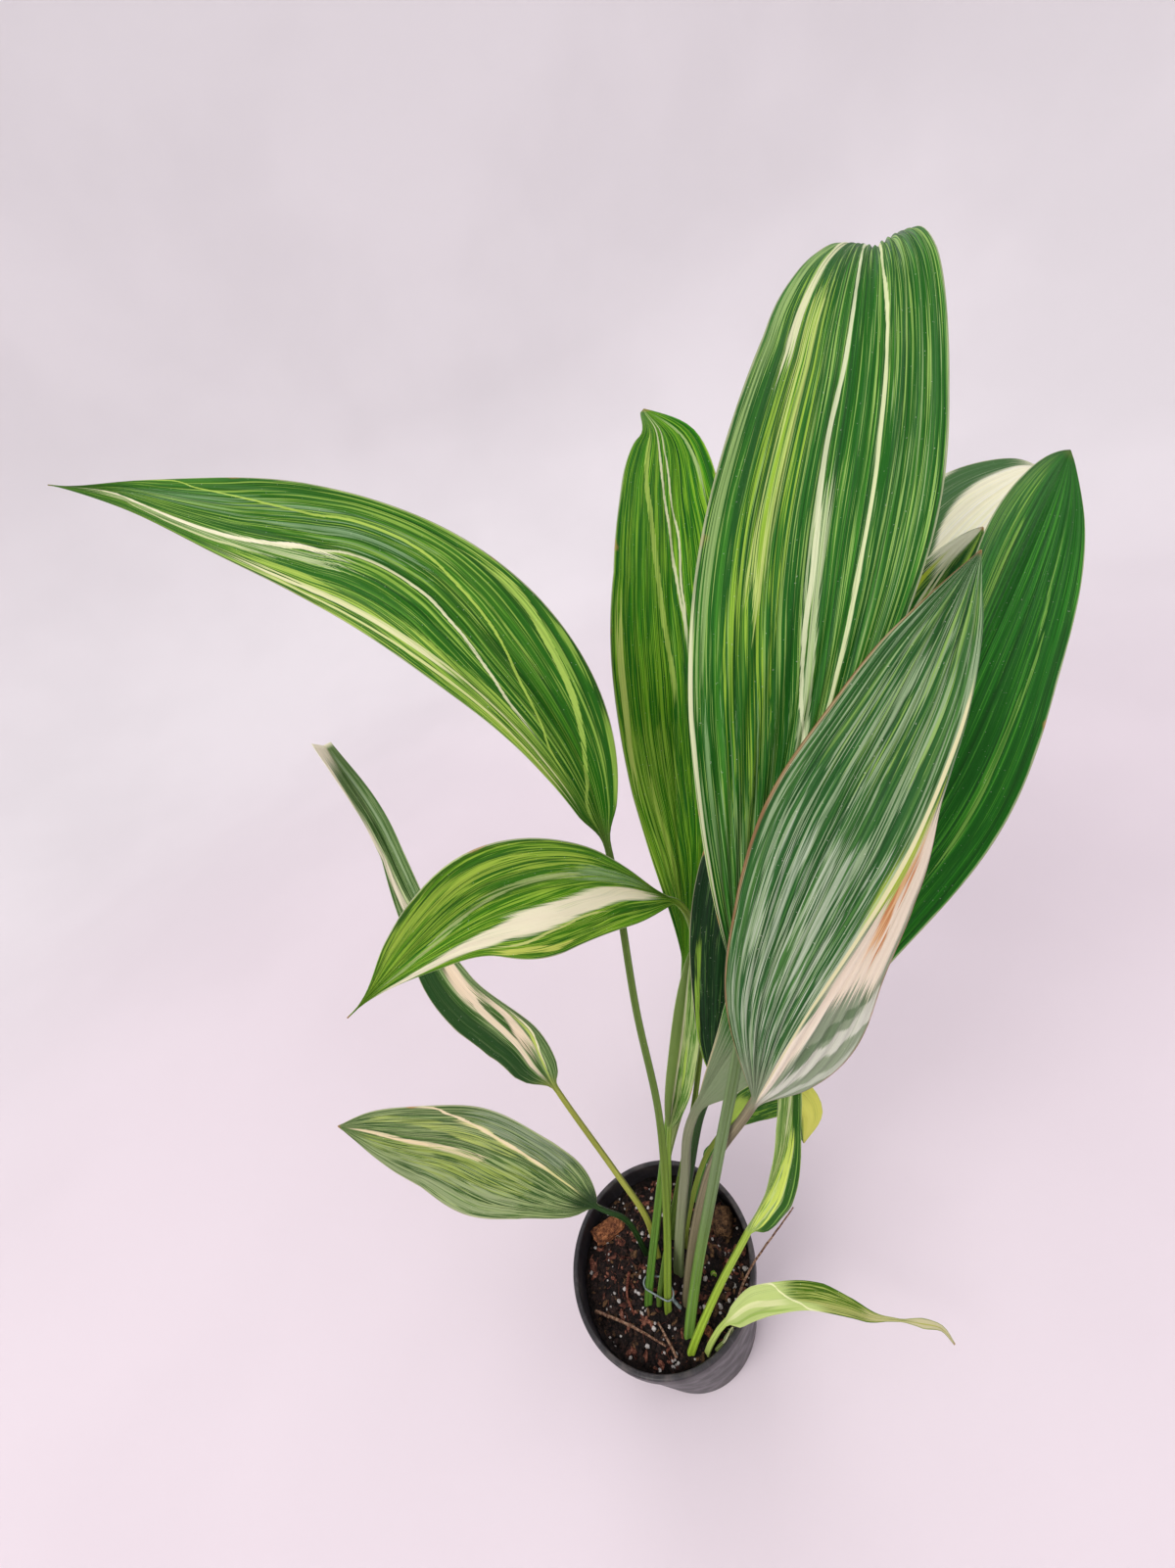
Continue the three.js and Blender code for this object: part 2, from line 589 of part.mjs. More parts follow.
function soilBody() {
  const bottomZ = potFloor + clearance;
  const bevelZ = bottomZ + soilBottomBevel;
  const sideGap = potWall + clearance / Math.cos(Math.PI / potSides);
  const topRadius = wallRadiusAt(soilTop - soilEdgeDrop) - sideGap;
  const positions = [];
  const index = [];
  let ringCount = 0;
  const addRing = (r, heightAt) => {
    for (let k = 0; k < potSides; k += 1) {
      const angle = 2 * Math.PI * k / potSides;
      const x = r * Math.sin(angle);
      const y = r * Math.cos(angle);
      positions.push(x, y, heightAt(x, y));
    }
    ringCount += 1;
  };
  addRing(potBaseRadius - sideGap - soilBottomBevel, () => bottomZ);
  addRing(wallRadiusAt(bevelZ) - sideGap, () => bevelZ);
  for (let ring = soilRings; ring >= 1; ring -= 1) addRing(topRadius * ring / soilRings, soilHeight);
  for (let ring = 0; ring < ringCount - 1; ring += 1) {
    for (let k = 0; k < potSides; k += 1) {
      const next = (k + 1) % potSides;
      const a = ring * potSides + k;
      const b = ring * potSides + next;
      index.push(a, a + potSides, b, b, a + potSides, b + potSides);
    }
  }
  const bottomCentre = positions.length / 3;
  positions.push(0, 0, bottomZ, 0, 0, soilHeight(0, 0));
  const lastRing = (ringCount - 1) * potSides;
  for (let k = 0; k < potSides; k += 1) {
    const next = (k + 1) % potSides;
    index.push(bottomCentre, k, next);
    index.push(bottomCentre + 1, lastRing + next, lastRing + k);
  }
  const geometry = new THREE.BufferGeometry();
  geometry.setAttribute('position', new THREE.Float32BufferAttribute(positions, 3));
  geometry.setIndex(index);
  return toSolid(geometry);
}

// Grains of bark and perlite, sunk halfway into the top of the soil.
function soilLumps() {
  const random = randomSource(lumpSeed);
  const lumps = [];
  for (let k = 0; k < lumpCount; k += 1) {
    const angle = 2 * Math.PI * random();
    const distance = (wallRadiusAt(soilTop) - potWall - lumpMargin) * Math.sqrt(random());
    const x = distance * Math.cos(angle);
    const y = distance * Math.sin(angle);
    const grain = new THREE.OctahedronGeometry(lumpSmallest + lumpSpread * random());
    grain.scale(1, 1, 0.8);
    grain.rotateZ(Math.PI * random());
    grain.translate(x, y, soilHeight(x, y) + 0.3);
    lumps.push(toSolid(grain));
  }
  return lumps;
}

function soilGeometry() {
  let solid = soilBody();
  soilLumps().forEach((lump) => { solid = solid.add(lump); });
  leaves.forEach((leaf) => { solid = solid.subtract(footHole(leaf)); });
  barkChips.forEach((chip) => { solid = solid.subtract(toSolid(chipGeometry(chip, clearance))); });
  twigs.forEach((twig) => { solid = solid.subtract(rodGroove(twig)); });
  const parts = solid.decompose();
  parts.sort((a, b) => b.volume() - a.volume());
  return toGeometry(parts[0]);
}

// ---- Tie: a wire ring round the stalks of the upright leaves ----------------------------------

function tieGeometry() {
  const centres = tiedLeaves.map((name) => {
    const leaf = leaves.find((one) => one.name === name);
    const line = leafLine(leaf);
    let u = 0;
    while (line.curve.getPointAt(u).z < tieHeight) u += tieStep;
    return line.curve.getPointAt(u);
  });
  const middle = centres.reduce((sum, p) => sum.add(p), new THREE.Vector3()).divideScalar(centres.length);
  const reach = Math.max(...centres.map((p) => p.distanceTo(middle)));
  const ringRadius = reach + leaves[0].stalkRadius[0] + tieRadius + clearance;
  const ring = new THREE.TorusGeometry(ringRadius, tieRadius, 6, 24);
  ring.rotateX(THREE.MathUtils.degToRad(tieTilt));
  ring.translate(middle.x, middle.y, middle.z);
  return ring;
}

// ---- The part -----------------------------------------------------------------------------

const plant = new THREE.Group();
plant.add(piece('pot', potGeometry(), 0x2c2c30, 0.55));
plant.add(piece('soil', soilGeometry(), 0x2a1c15, 0.95));
leaves.forEach((leaf) => plant.add(piece(leaf.name, leafGeometry(leaf), leaf.color, 0.45)));
twigs.forEach((twig) => plant.add(piece(twig.name, rodGeometry(twig.points, twig.radius), twig.color, 0.9)));
barkChips.forEach((chip) => plant.add(piece(chip.name, chipGeometry(chip, 0), chip.color, 0.9)));
plant.add(piece('tie', tieGeometry(), 0x8fa09a, 0.4));

export default plant;
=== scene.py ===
# %% [markdown]
# # A potted cast iron plant
# The real thing is a clump of long leaves. Each leaf is one blade on one grooved stalk, and the stalks
# stand close together in the dark soil of a plain black nursery pot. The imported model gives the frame:
# its solids are right in size and place, but plain. This lesson dresses them with finer shapes, and
# spends most of its care on the leaves, since their cream stripes are what one sees first.

# %% Load the frame
import math
import random

import bmesh
import bpy
import numpy as np
from mathutils import Matrix, Vector, noise


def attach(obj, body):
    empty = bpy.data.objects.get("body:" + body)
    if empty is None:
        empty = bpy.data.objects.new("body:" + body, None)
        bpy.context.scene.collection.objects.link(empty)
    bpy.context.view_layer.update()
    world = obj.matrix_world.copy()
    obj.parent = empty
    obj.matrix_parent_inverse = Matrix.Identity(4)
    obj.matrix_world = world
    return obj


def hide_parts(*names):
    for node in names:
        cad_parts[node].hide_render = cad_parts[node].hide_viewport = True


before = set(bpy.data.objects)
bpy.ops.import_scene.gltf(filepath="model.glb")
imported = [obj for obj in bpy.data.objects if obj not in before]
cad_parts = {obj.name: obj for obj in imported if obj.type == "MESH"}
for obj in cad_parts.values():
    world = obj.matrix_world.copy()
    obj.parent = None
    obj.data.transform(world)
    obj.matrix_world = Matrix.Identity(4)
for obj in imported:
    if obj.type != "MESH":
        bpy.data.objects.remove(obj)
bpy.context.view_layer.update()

MM = 0.001

# %% [markdown]
# ## Camera
# The picture was taken by hand with a wide lens, close to the plant, looking down and tilted to one
# side. The camera is built from those facts: where it was, how far it looked down, how far it was
# rolled, and how wide the lens is. Blender takes the lens as a length on a 36 mm sensor.

# %% Camera
IMAGE_HEIGHT_PX = 1601
FOCAL_PX = 650
SENSOR_MM = 36
CAMERA_PLACE = Vector((84, -236, 712)) * MM
LOOK_DOWN = math.radians(32)
ROLL = math.radians(21.3)


def make_camera():
    """A camera at the plant's front, above the pot, rolled to one side."""
    forward = Vector((0, math.cos(LOOK_DOWN), -math.sin(LOOK_DOWN)))
    level_down = Vector((0, -math.sin(LOOK_DOWN), -math.cos(LOOK_DOWN)))
    right = math.cos(ROLL) * Vector((1, 0, 0)) + math.sin(ROLL) * level_down
    down = -math.sin(ROLL) * Vector((1, 0, 0)) + math.cos(ROLL) * level_down
    data = bpy.data.cameras.new("plant_camera")
    data.sensor_width = SENSOR_MM
    data.lens = FOCAL_PX / IMAGE_HEIGHT_PX * SENSOR_MM
    data.clip_start = 0.01
    camera = bpy.data.objects.new("plant_camera", data)
    turn = Matrix((right, -down, -forward)).transposed().to_4x4()
    camera.matrix_world = Matrix.Translation(CAMERA_PLACE) @ turn
    bpy.context.collection.objects.link(camera)
    bpy.context.scene.camera = camera
    return camera


camera = make_camera()
print("lens in mm:", round(camera.data.lens, 2))

# %% [markdown]
# ## Helpers for meshes
# Every piece here is a mesh made from points and faces, so one helper turns them into an object, and
# another sets a number on each point. Materials read those numbers: a leaf's stripes need to know how
# far across and how far along the leaf a point is.

# %% Mesh helpers
def make_object(name, points, faces, material, smooth=True):
    """A mesh object from a list of points in metres and a list of faces."""
    mesh = bpy.data.meshes.new(name)
    mesh.from_pydata([tuple(p) for p in points], [], [tuple(f) for f in faces])
    mesh.polygons.foreach_set("use_smooth", [smooth] * len(mesh.polygons))
    mesh.materials.append(material)
    mesh.update()
    obj = bpy.data.objects.new(name, mesh)
    bpy.context.collection.objects.link(obj)
    return obj


def set_values(obj, name, values):
    """One number for each point of the mesh, for materials to read."""
    layer = obj.data.attributes.new(name=name, type="FLOAT", domain="POINT")
    layer.data.foreach_set("value", np.asarray(values, dtype=np.float32))


def dress(obj, slot, *nodes):
    """Puts a finished piece on the part, in place of the plain solids that it stands for."""
    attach(obj, "root")
    if nodes:
        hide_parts(*nodes)
    print(f"{obj.name}: {len(obj.data.vertices)} points, {len(obj.data.polygons)} faces")
    return obj


def unit(v):
    return v / np.linalg.norm(v)


def smooth_step(x):
    x = np.clip(x, 0, 1)
    return x * x * (3 - 2 * x)


# %% [markdown]
# ## Helpers for materials
# A material is a small network of nodes. The helpers keep each line of a network short: one adds a
# node and fills in its inputs, and a colour is written as the eye reads it on a screen and turned into
# the linear light that the renderer works in. An effect that several materials share becomes a group.

# %% Material helpers
def paint(red, green, blue):
    """A colour given in screen values from 0 to 255, as linear light."""
    def linear(c):
        c = c / 255
        return c / 12.92 if c <= 0.04045 else ((c + 0.055) / 1.055) ** 2.4
    return (linear(red), linear(green), linear(blue), 1.0)


def fill(tree, node, inputs):
    """Sets inputs of a node: for each name or number, a plain value or another node's socket."""
    for key, value in inputs.items():
        if isinstance(value, bpy.types.NodeSocket):
            tree.links.new(value, node.inputs[key])
        else:
            node.inputs[key].default_value = value
    return node


def add_node(tree, kind, inputs, **settings):
    node = tree.nodes.new(kind)
    for name, value in settings.items():
        setattr(node, name, value)
    return fill(tree, node, inputs)


def maths(tree, operation, a, b=0.0, c=0.0):
    return add_node(tree, "ShaderNodeMath", {0: a, 1: b, 2: c}, operation=operation).outputs[0]


def times(tree, a, b):
    return maths(tree, "MULTIPLY", a, b)


def times_plus(tree, a, b, c):
    return maths(tree, "MULTIPLY_ADD", a, b, c)


def minus(tree, a, b):
    return maths(tree, "SUBTRACT", a, b)


def blend(tree, share, a, b):
    """Mixes two colours: a where share is 0, b where it is 1."""
    return add_node(tree, "ShaderNodeMix", {0: share, 6: a, 7: b}, data_type="RGBA").outputs[2]


def remap(tree, value, low, high, to_low=0.0, to_high=1.0):
    """Stretches values between low and high to the new range, with soft ends."""
    node = add_node(tree, "ShaderNodeMapRange", {0: value, 1: low, 2: high, 3: to_low, 4: to_high},
                    interpolation_type="SMOOTHSTEP")
    return node.outputs[0]


# %% Values and noise on a surface
def point_value(tree, name):
    return add_node(tree, "ShaderNodeAttribute", {}, attribute_name=name).outputs["Fac"]


def object_place(tree):
    return add_node(tree, "ShaderNodeTexCoord", {}).outputs["Object"]


def place(tree, x, y, z=0.0):
    return add_node(tree, "ShaderNodeCombineXYZ", {0: x, 1: y, 2: z}).outputs[0]


def stretched(tree, x, x_scale, y, y_scale, z):
    """A place for noise that is drawn out by its own scale in each direction."""
    return place(tree, times(tree, x, x_scale), times(tree, y, y_scale), z)


def grain(tree, where, scale, detail=3.0, rough=0.5):
    node = add_node(tree, "ShaderNodeTexNoise",
                    {"Vector": where, "Scale": scale, "Detail": detail, "Roughness": rough})
    return node.outputs["Fac"]


def new_material(name):
    """A material with an empty network and its shader."""
    material = bpy.data.materials.new(name)
    material.use_nodes = True
    tree = material.node_tree
    tree.nodes.clear()
    shader = add_node(tree, "ShaderNodeBsdfPrincipled", {})
    add_node(tree, "ShaderNodeOutputMaterial", {"Surface": shader.outputs[0]})
    return material, tree, shader


def bump(tree, height, strength, depth_mm):
    node = add_node(tree, "ShaderNodeBump",
                    {"Height": height, "Strength": strength, "Distance": depth_mm * MM})
    return node.outputs[0]


# %% Node group helpers
def new_group(name, inputs, outputs):
    """A shader node group. inputs gives each name its usual value, outputs gives each name its kind."""
    group = bpy.data.node_groups.new(name, "ShaderNodeTree")
    for socket, value in inputs.items():
        made = group.interface.new_socket(socket, in_out="INPUT", socket_type="NodeSocketFloat")
        made.default_value = value
    for socket, kind in outputs.items():
        group.interface.new_socket(socket, in_out="OUTPUT", socket_type=kind)
    entry = group.nodes.new("NodeGroupInput")
    leave = group.nodes.new("NodeGroupOutput")
    return group, entry.outputs, leave.inputs


def use_group(tree, group, inputs):
    return add_node(tree, "ShaderNodeGroup", inputs, node_tree=group).outputs[0]


# %% [markdown]
# ## Leaf effects: stripes, strips and veins
# A variegated leaf is green with pale parts that follow its veins from the stalk to the tip. Three
# effects make that. A stripe is one solid band with a ragged edge, whose middle wanders across the leaf.
# Strips are narrow and long, and lie between the veins: noise that is stretched along the leaf draws
# them, and a higher cover lets more of them through. The veins themselves are fine ridges that catch
# the light. All three work in the leaf's own directions: "across" runs from -1 at the left edge over 0
# at the midrib to 1 at the right edge, and "along" from 0 at the blade's base to 1 at its tip.

# %% Stripe group
FIBRES_ACROSS, FIBRES_ALONG = 70.0, 4.0
BAND_CORE, BAND_EDGE = 0.75, 1.15
FIBRE_REACH = 0.22
START_FADE, END_FADE = 0.04, 0.06


def make_stripe_group():
    """One band along the leaf, 1 inside and 0 outside."""
    group, given, result = new_group(
        "Leaf stripe",
        {"Across": 0, "Along": 0, "Middle": 0, "Half width": 0.05, "Start": 0, "End": 1,
         "Ragged": 0.02, "Seed": 0},
        {"Mask": "NodeSocketFloat"},
    )
    drift_at = place(group, 0.0, times(group, given["Along"], 5.0), given["Seed"])
    drift = minus(group, grain(group, drift_at, 1.0), 0.5)
    middle = times_plus(group, drift, given["Ragged"], given["Middle"])
    apart = maths(group, "ABSOLUTE", minus(group, given["Across"], middle))
    fibre_at = stretched(group, given["Across"], FIBRES_ACROSS, given["Along"], FIBRES_ALONG, given["Seed"])
    fibre = minus(group, grain(group, fibre_at, 1.0, 2.0), 0.5)
    edge = times_plus(group, fibre, times(group, given["Ragged"], 3.0), apart)
    inner = times(group, given["Half width"], BAND_CORE)
    outer = times(group, given["Half width"], BAND_EDGE)
    inside = minus(group, 1.0, remap(group, edge, inner, outer))
    streaky = times_plus(group, fibre, FIBRE_REACH, given["Along"])
    begins = remap(group, streaky, minus(group, given["Start"], START_FADE), given["Start"])
    ends = remap(group, streaky, given["End"], maths(group, "ADD", given["End"], END_FADE), 1.0, 0.0)
    both = times(group, begins, ends)
    group.links.new(times(group, inside, both), result["Mask"])
    return group


# %% Strip and vein groups
SWAY_ACROSS, SWAY_ALONG, SWAY_WIDTH = 1.5, 2.0, 2.0
LEAST_TONE, COVER_REACH = 0.66, 0.3
CROSSINGS_ACROSS, CROSSING_HEIGHT = 25.0, 0.25


def make_strip_group():
    """Fine pale strips along the leaf that taper where they begin and end."""
    group, given, result = new_group(
        "Leaf strips",
        {"Across": 0, "Along": 0, "Count": 30, "Breaks": 3, "Cover": 0.3, "Softness": 0.05, "Seed": 0},
        {"Mask": "NodeSocketFloat"},
    )
    sway_at = stretched(group, given["Across"], SWAY_ACROSS, given["Along"], SWAY_ALONG, given["Seed"])
    sway = times(group, grain(group, sway_at, 1.0, 1.0), SWAY_WIDTH)
    strip_at = place(group, times_plus(group, given["Across"], given["Count"], sway),
                     times(group, given["Along"], given["Breaks"]), times(group, given["Seed"], 3.7))
    tone = grain(group, strip_at, 1.0, 2.5, 0.55)
    low = minus(group, LEAST_TONE, times(group, given["Cover"], COVER_REACH))
    pale = remap(group, tone, low, maths(group, "ADD", low, given["Softness"]))
    group.links.new(pale, result["Mask"])
    return group


def make_vein_group():
    """Fine parallel ridges, one for each vein, with weak crossings between them."""
    group, given, result = new_group(
        "Parallel veins",
        {"Across": 0, "Along": 0, "Count": 60, "Crossings": 90, "Seed": 0},
        {"Height": "NodeSocketFloat"},
    )
    at = stretched(group, given["Across"], given["Count"], given["Along"], 1.5, given["Seed"])
    ridges = grain(group, at, 1.0, 2.0)
    cross_at = stretched(group, given["Across"], CROSSINGS_ACROSS, given["Along"], given["Crossings"],
                         given["Seed"])
    crossings = grain(group, cross_at, 1.0, 1.0)
    group.links.new(times_plus(group, crossings, CROSSING_HEIGHT, ridges), result["Height"])
    return group


STRIPE = make_stripe_group()
STRIPS = make_strip_group()
VEINS = make_vein_group()
print("leaf effect groups:", STRIPE.name, STRIPS.name, VEINS.name)

# %% [markdown]
# ## The leaf's surface
# A leaf is a curve in space with a width. The curve starts at the foot in the soil and ends at the tip.
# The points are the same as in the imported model, in millimetres, so each fine leaf stays where its
# plain solid is. "across" gives the direction to the leaf's right edge at places from base to tip, and
# "fold" how far each half is lifted like an open book. "shape" tapers the blade at its base and tip, or
# lists its width at even places. Where the two halves of a leaf differ, each has its own.
# A mesh grid is wrapped round that curve. It could also be a curve with a bevel, but then the blade
# could not be thin, folded and waved at once.

# %% Leaf measures
LEAVES = {
    "leaf_tall_front": {
        "stalk": [(4, -48, 102), (21, -30, 128), (74, -36, 300)],
        "blade": [
            (112, -37, 417), (134, -27, 483), (178, -1, 561), (222, 35, 629),
            (261, 72, 682), (287, 99, 706), (306, 124, 712), (335, 170, 694),
        ],
        "across": [(0.89, -0.24, -0.39), (0.89, -0.24, -0.39), (0.94, -0.2, -0.22), (0.95, -0.3, 0.05)],
        "left": {"width": 108, "shape": (1.68, 1.72), "fold": (28, 8, 26, 6)},
        "right": {"width": 90, "shape": (2.2, 1.56), "fold": (30, 15, 8, 1)},
        "wave": (1.6, 3.5, 0.4), "stalk_radius": (4, 3),
    },
    "leaf_front_bent": {
        "stalk": [(9, -28, 102), (36, -15, 171), (67, -14, 250)],
        "blade": [
            (103, -49, 368), (130, -68, 446), (163, -73, 500), (191, -70, 537),
            (215, -59, 567), (236, -40, 588), (254, -18, 609),
        ],
        "across": [(-0.74, 0.22, 0.63), (-0.59, -0.11, 0.8), (-0.52, -0.14, 0.84)],
        "left": {"width": 92, "shape": (0.65, 0.85), "fold": (0, 16, 26, 24)},
        "right": {"width": 107, "shape": (1.45, 1), "fold": (4, 27, 40, 36)},
        "wave": (1.2, 3, 1.1), "stalk_radius": (3.6, 2.6),
    },
    "leaf_right_broad": {
        "stalk": [(9, -8, 102), (26, -7, 165), (47, 0, 225)],
        "blade": [
            (69, -2, 295), (122, 3, 355), (186, 10, 418), (252, 26, 471),
            (311, 52, 522), (374, 87, 568), (405, 108, 587),
        ],
        "across": [(0.57, -0.66, -0.49), (0.6, -0.42, -0.68), (0.64, -0.1, -0.76)],
        "left": {"width": 113, "shape": (1.37, 0.84), "fold": (20, 13, 45, 0)},
        "right": {"width": 99, "shape": (0.91, 0.76), "fold": (20, 3, 11, 14)},
        "wave": (1.6, 3, 2), "stalk_radius": (4.2, 3),
    },
    "leaf_back_upright": {
        "stalk": [(-21, -20, 102), (10, 9, 159), (46, 35, 229)],
        "blade": [
            (98, 66, 342), (127, 100, 431), (152, 134, 500), (178, 169, 564),
            (205, 203, 614), (221, 232, 650), (213, 253, 672),
        ],
        "across": [(0.93, -0.19, -0.31), (0.93, -0.11, -0.36), (0.83, -0.12, -0.55)],
        "left": {"width": 97, "shape": (1.31, 0.66), "fold": (33, 10, 28, 13)},
        "right": {"width": 85, "shape": (1.25, 0.84), "fold": (30, 18, 11, 9)},
        "wave": (1.6, 3, 0.2), "stalk_radius": (3.2, 2.6),
    },
    "leaf_arching_left": {
        "stalk": [(-7, -29, 102), (18, -3, 170), (46, 19, 274), (60, 39, 364)],
        "blade": [
            (81, 66, 471), (86, 85, 528), (75, 103, 579), (46, 123, 630),
            (-7, 150, 680), (-84, 190, 725), (-146, 226, 750),
        ],
        "across": [(0.96, 0.14, 0.23), (0.81, 0.02, 0.58), (0.48, 0.03, 0.87)],
        "left": {"width": 75, "shape": (0.88, 1.4), "fold": (32, 18, 12, 10)},
        "right": {"width": 74, "shape": (1.09, 1.8), "fold": (33, 13, 10, 10)},
        "wave": (2.2, 3, 0.9), "stalk_radius": (3, 2.2),
    },
    "leaf_left_middle": {
        "stalk": [(-13, -22, 102), (22.5, 3.5, 165), (74, 34, 256), (103, 54, 323), (112, 61, 370)],
        "blade": [
            (111, 54, 422), (88, 43, 456), (51, 38, 483),
            (7, 33, 496), (-32, 25, 491), (-82, 17, 471),
        ],
        "across": [(0.31, -0.01, 0.95), (0.32, 0.06, 0.94), (-0.17, 0.15, 0.97)],
        "left": {"width": 77, "shape": (1.55, 2), "fold": (25, 17, 15, 7)},
        "right": {"width": 84, "shape": (2.7, 2.35), "fold": (26, 8, 17, 8)},
        "wave": (1.8, 2.5, 0.5), "stalk_radius": (3, 2.2),
    },
    "leaf_shaded_upright": {
        "stalk": [(12, 3, 102), (34, 5, 165), (72, 19, 252)],
        "blade": [(91, 18, 291), (111, 25, 340), (131, 38, 386), (150, 53, 425), (171, 72, 466)],
        "across": [(0.79, -0.61, 0.02)],
        "left": {"width": 54, "shape": (0.75, 0.45), "fold": (19, 20, 16, 11)},
        "right": {"width": 52, "shape": (0.5, 1), "fold": (20, 20, 15, 10)},
        "wave": (1, 2, 0), "stalk_radius": (3, 2.2),
    },
    "leaf_right_cream": {
        "stalk": [(-2, 21, 102), (38, 40, 188), (104, 57, 293)],
        "blade": [
            (188, 77, 402), (254, 106, 470), (316, 134, 520),
            (377, 155, 549), (427, 170, 558), (448, 178, 558),
        ],
        "across": [(0.47, -0.47, -0.75)],
        "fold": (20, 12, 8), "width": 92, "shape": (0.9, 0.8),
        "wave": (1.6, 3, 1.4), "stalk_radius": (3, 2.2),
    },
    "leaf_right_striped": {
        "stalk": [(13, 17, 102), (52, 34, 181), (113, 47, 290)],
        "blade": [(187, 60, 408), (257, 85, 486), (301, 101, 522), (335, 112, 541), (367, 126, 555)],
        "across": [(0.47, -0.47, -0.75)],
        "fold": (20, 12, 8), "width": 56, "shape": (0.8, 0.8),
        "wave": (1.2, 3, 0.3), "stalk_radius": (3, 2.2),
    },
    "leaf_young_folded": {
        "stalk": [(5, 14, 102), (28, 17, 178)],
        "blade": [(47, 28.5, 236), (67, 36, 283), (87, 49, 323), (109, 69, 364)],
        "across": [(0.93, -0.19, -0.31)],
        "fold": (50, 50, 40), "width": 32, "shape": (0.8, 0.8),
        "wave": (0.6, 2, 0), "stalk_radius": (2.2, 1.8),
    },
    "leaf_right_folded": {
        "stalk": [(2, -58, 102), (33, -41, 130)],
        "blade": [(75, -37, 200), (107, -30, 244), (129, -19, 288), (148, 4, 334)],
        "across": [(0.84, -0.29, -0.46)],
        "left": {
            "width": 32, "shape": (0.3, 0.2, 0.3, 0.57, 0.79, 0.9, 0.85, 0.6, 0.2), "fold": (30, 40, 30),
        },
        "right": {
            "width": 32, "shape": (0.4, 0.79, 0.96, 0.83, 0.65, 0.44, 0.38, 0.3, 0.1), "fold": (30, 40, 30),
        },
        "wave": (0.8, 2, 0.6), "stalk_radius": (3, 2.2),
    },
    "leaf_over_rim": {
        "stalk": [(14, -61, 102), (22, -58, 112)],
        "blade": [
            (34, -55, 122), (64, -56, 139), (95, -62, 138), (119, -71, 126), (136, -78, 109),
            (150, -81, 99), (168, -85, 87), (180, -89, 77), (185, -96, 63),
        ],
        "across": [
            (0.3, -0.91, -0.3), (-0.18, -0.94, -0.29), (-0.53, -0.81, -0.26), (-0.36, -0.9, -0.26),
            (-0.94, -0.26, -0.2),
        ],
        "left": {
            "width": 22, "fold": (20, 15, 10),
            "shape": (0.2, 0.57, 0.92, 0.84, 0.87, 0.86, 0.57, 0.36, 0.15, 0.06, 0.28, 0.17, 0.03),
        },
        "right": {
            "width": 22, "fold": (20, 15, 10),
            "shape": (0.5, 0.79, 0.87, 0.84, 0.74, 0.68, 0.58, 0.44, 0.17, 0.09, 0.32, 0.17, 0.09),
        },
        "wave": (0.8, 2, 0), "stalk_radius": (2.4, 2),
    },
    "leaf_left_low": {
        "stalk": [(-13, 13, 102), (-14, 18, 156)],
        "blade": [(-27, 19, 187), (-51, 31, 234), (-94, 46, 278), (-134, 56, 308), (-175, 68, 327)],
        "across": [(0.34, 0.14, 0.93)],
        "left": {"width": 108, "shape": (1, 1.05), "fold": (23, 15, 5, 6)},
        "right": {"width": 99, "shape": (1.05, 1.03), "fold": (22, 11, 8, 3)},
        "wave": (1.4, 2.5, 0.3), "stalk_radius": (2.4, 2),
    },
    "leaf_left_twisted": {
        "stalk": [(-4, 8, 102), (2, 15, 154), (-4, 27, 211)],
        "blade": [
            (-17, 50, 297), (-23, 67, 347), (-48, 90, 397),
            (-56, 118, 453), (-63, 154, 507), (-79, 191, 554),
        ],
        "across": [(0.81, 0.02, 0.58), (0.79, -0.25, 0.56), (0.54, 0.76, -0.37)],
        "left": {
            "width": 56, "shape": (0.11, 0.74, 0.97, 0.99, 0.83, 0.64, 0.46, 0.26, 0.29, 0.4, 0.51),
            "fold": (30, 30),
        },
        "right": {
            "width": 56, "shape": (0.1, 0.64, 0.96, 1, 1, 0.79, 0.56, 0.41, 0.34, 0.29, 0.21),
            "fold": (30, 30),
        },
        "wave": (1.2, 2.5, 0.8), "stalk_radius": (2.6, 2),
    },
    "leaf_drooping_small": {
        "stalk": [(20, 8, 102), (36, 15, 141), (64, 26, 186)],
        "blade": [(89, 27, 215), (114, 26, 236), (135, 20, 242), (146, 10, 226), (137, 3, 200)],
        "across": [(0.19, -0.52, -0.83), (0.5, -0.4, -0.7), (0.93, -0.19, -0.31)],
        "fold": (20, 15, 10), "width": 34, "shape": (0.8, 0.9),
        "wave": (0.6, 2, 0), "stalk_radius": (2.2, 1.8),
    },
    "leaf_tiny_back": {
        "stalk": [(40, 36, 102), (52, 44, 118)],
        "blade": [(60, 50, 129), (69, 53, 135), (79, 56, 133)],
        "across": [(0.2, -0.9, -0.4)],
        "fold": (20, 15, 10), "width": 12, "shape": (0.8, 0.9), "wave": (0, 1, 0), "stalk_radius": (1.6, 1.2),
    },
    "sheath_over_rim": {
        "stalk": [(22, -61, 102), (25, -61, 105)],
        "blade": [(28, -61, 108), (33, -59.5, 113), (39, -57.5, 118)],
        "across": [(-0.3, -0.1, -0.95)],
        "fold": (30, 30, 20), "width": 7, "shape": (0.5, 0.7), "wave": (0, 1, 0), "stalk_radius": (1.6, 1.4),
    },
    "sprout": {
        "stalk": [(35, -17, 102), (36, -18, 105)],
        "blade": [(36, -19, 108), (37, -20, 112), (38, -22, 116)],
        "across": [(0.9, -0.4, 0)],
        "fold": (50, 50, 30), "width": 6, "shape": (0.4, 0.6), "wave": (0, 1, 0), "stalk_radius": (2, 1.8),
    },
}
ROOT_DEPTH = 14
BLEND_SHARE = 0.07
NECK_SHARE = 0.12
TIP_HALF_WIDTH = 0.35
BLADE_THICKNESS = 0.55
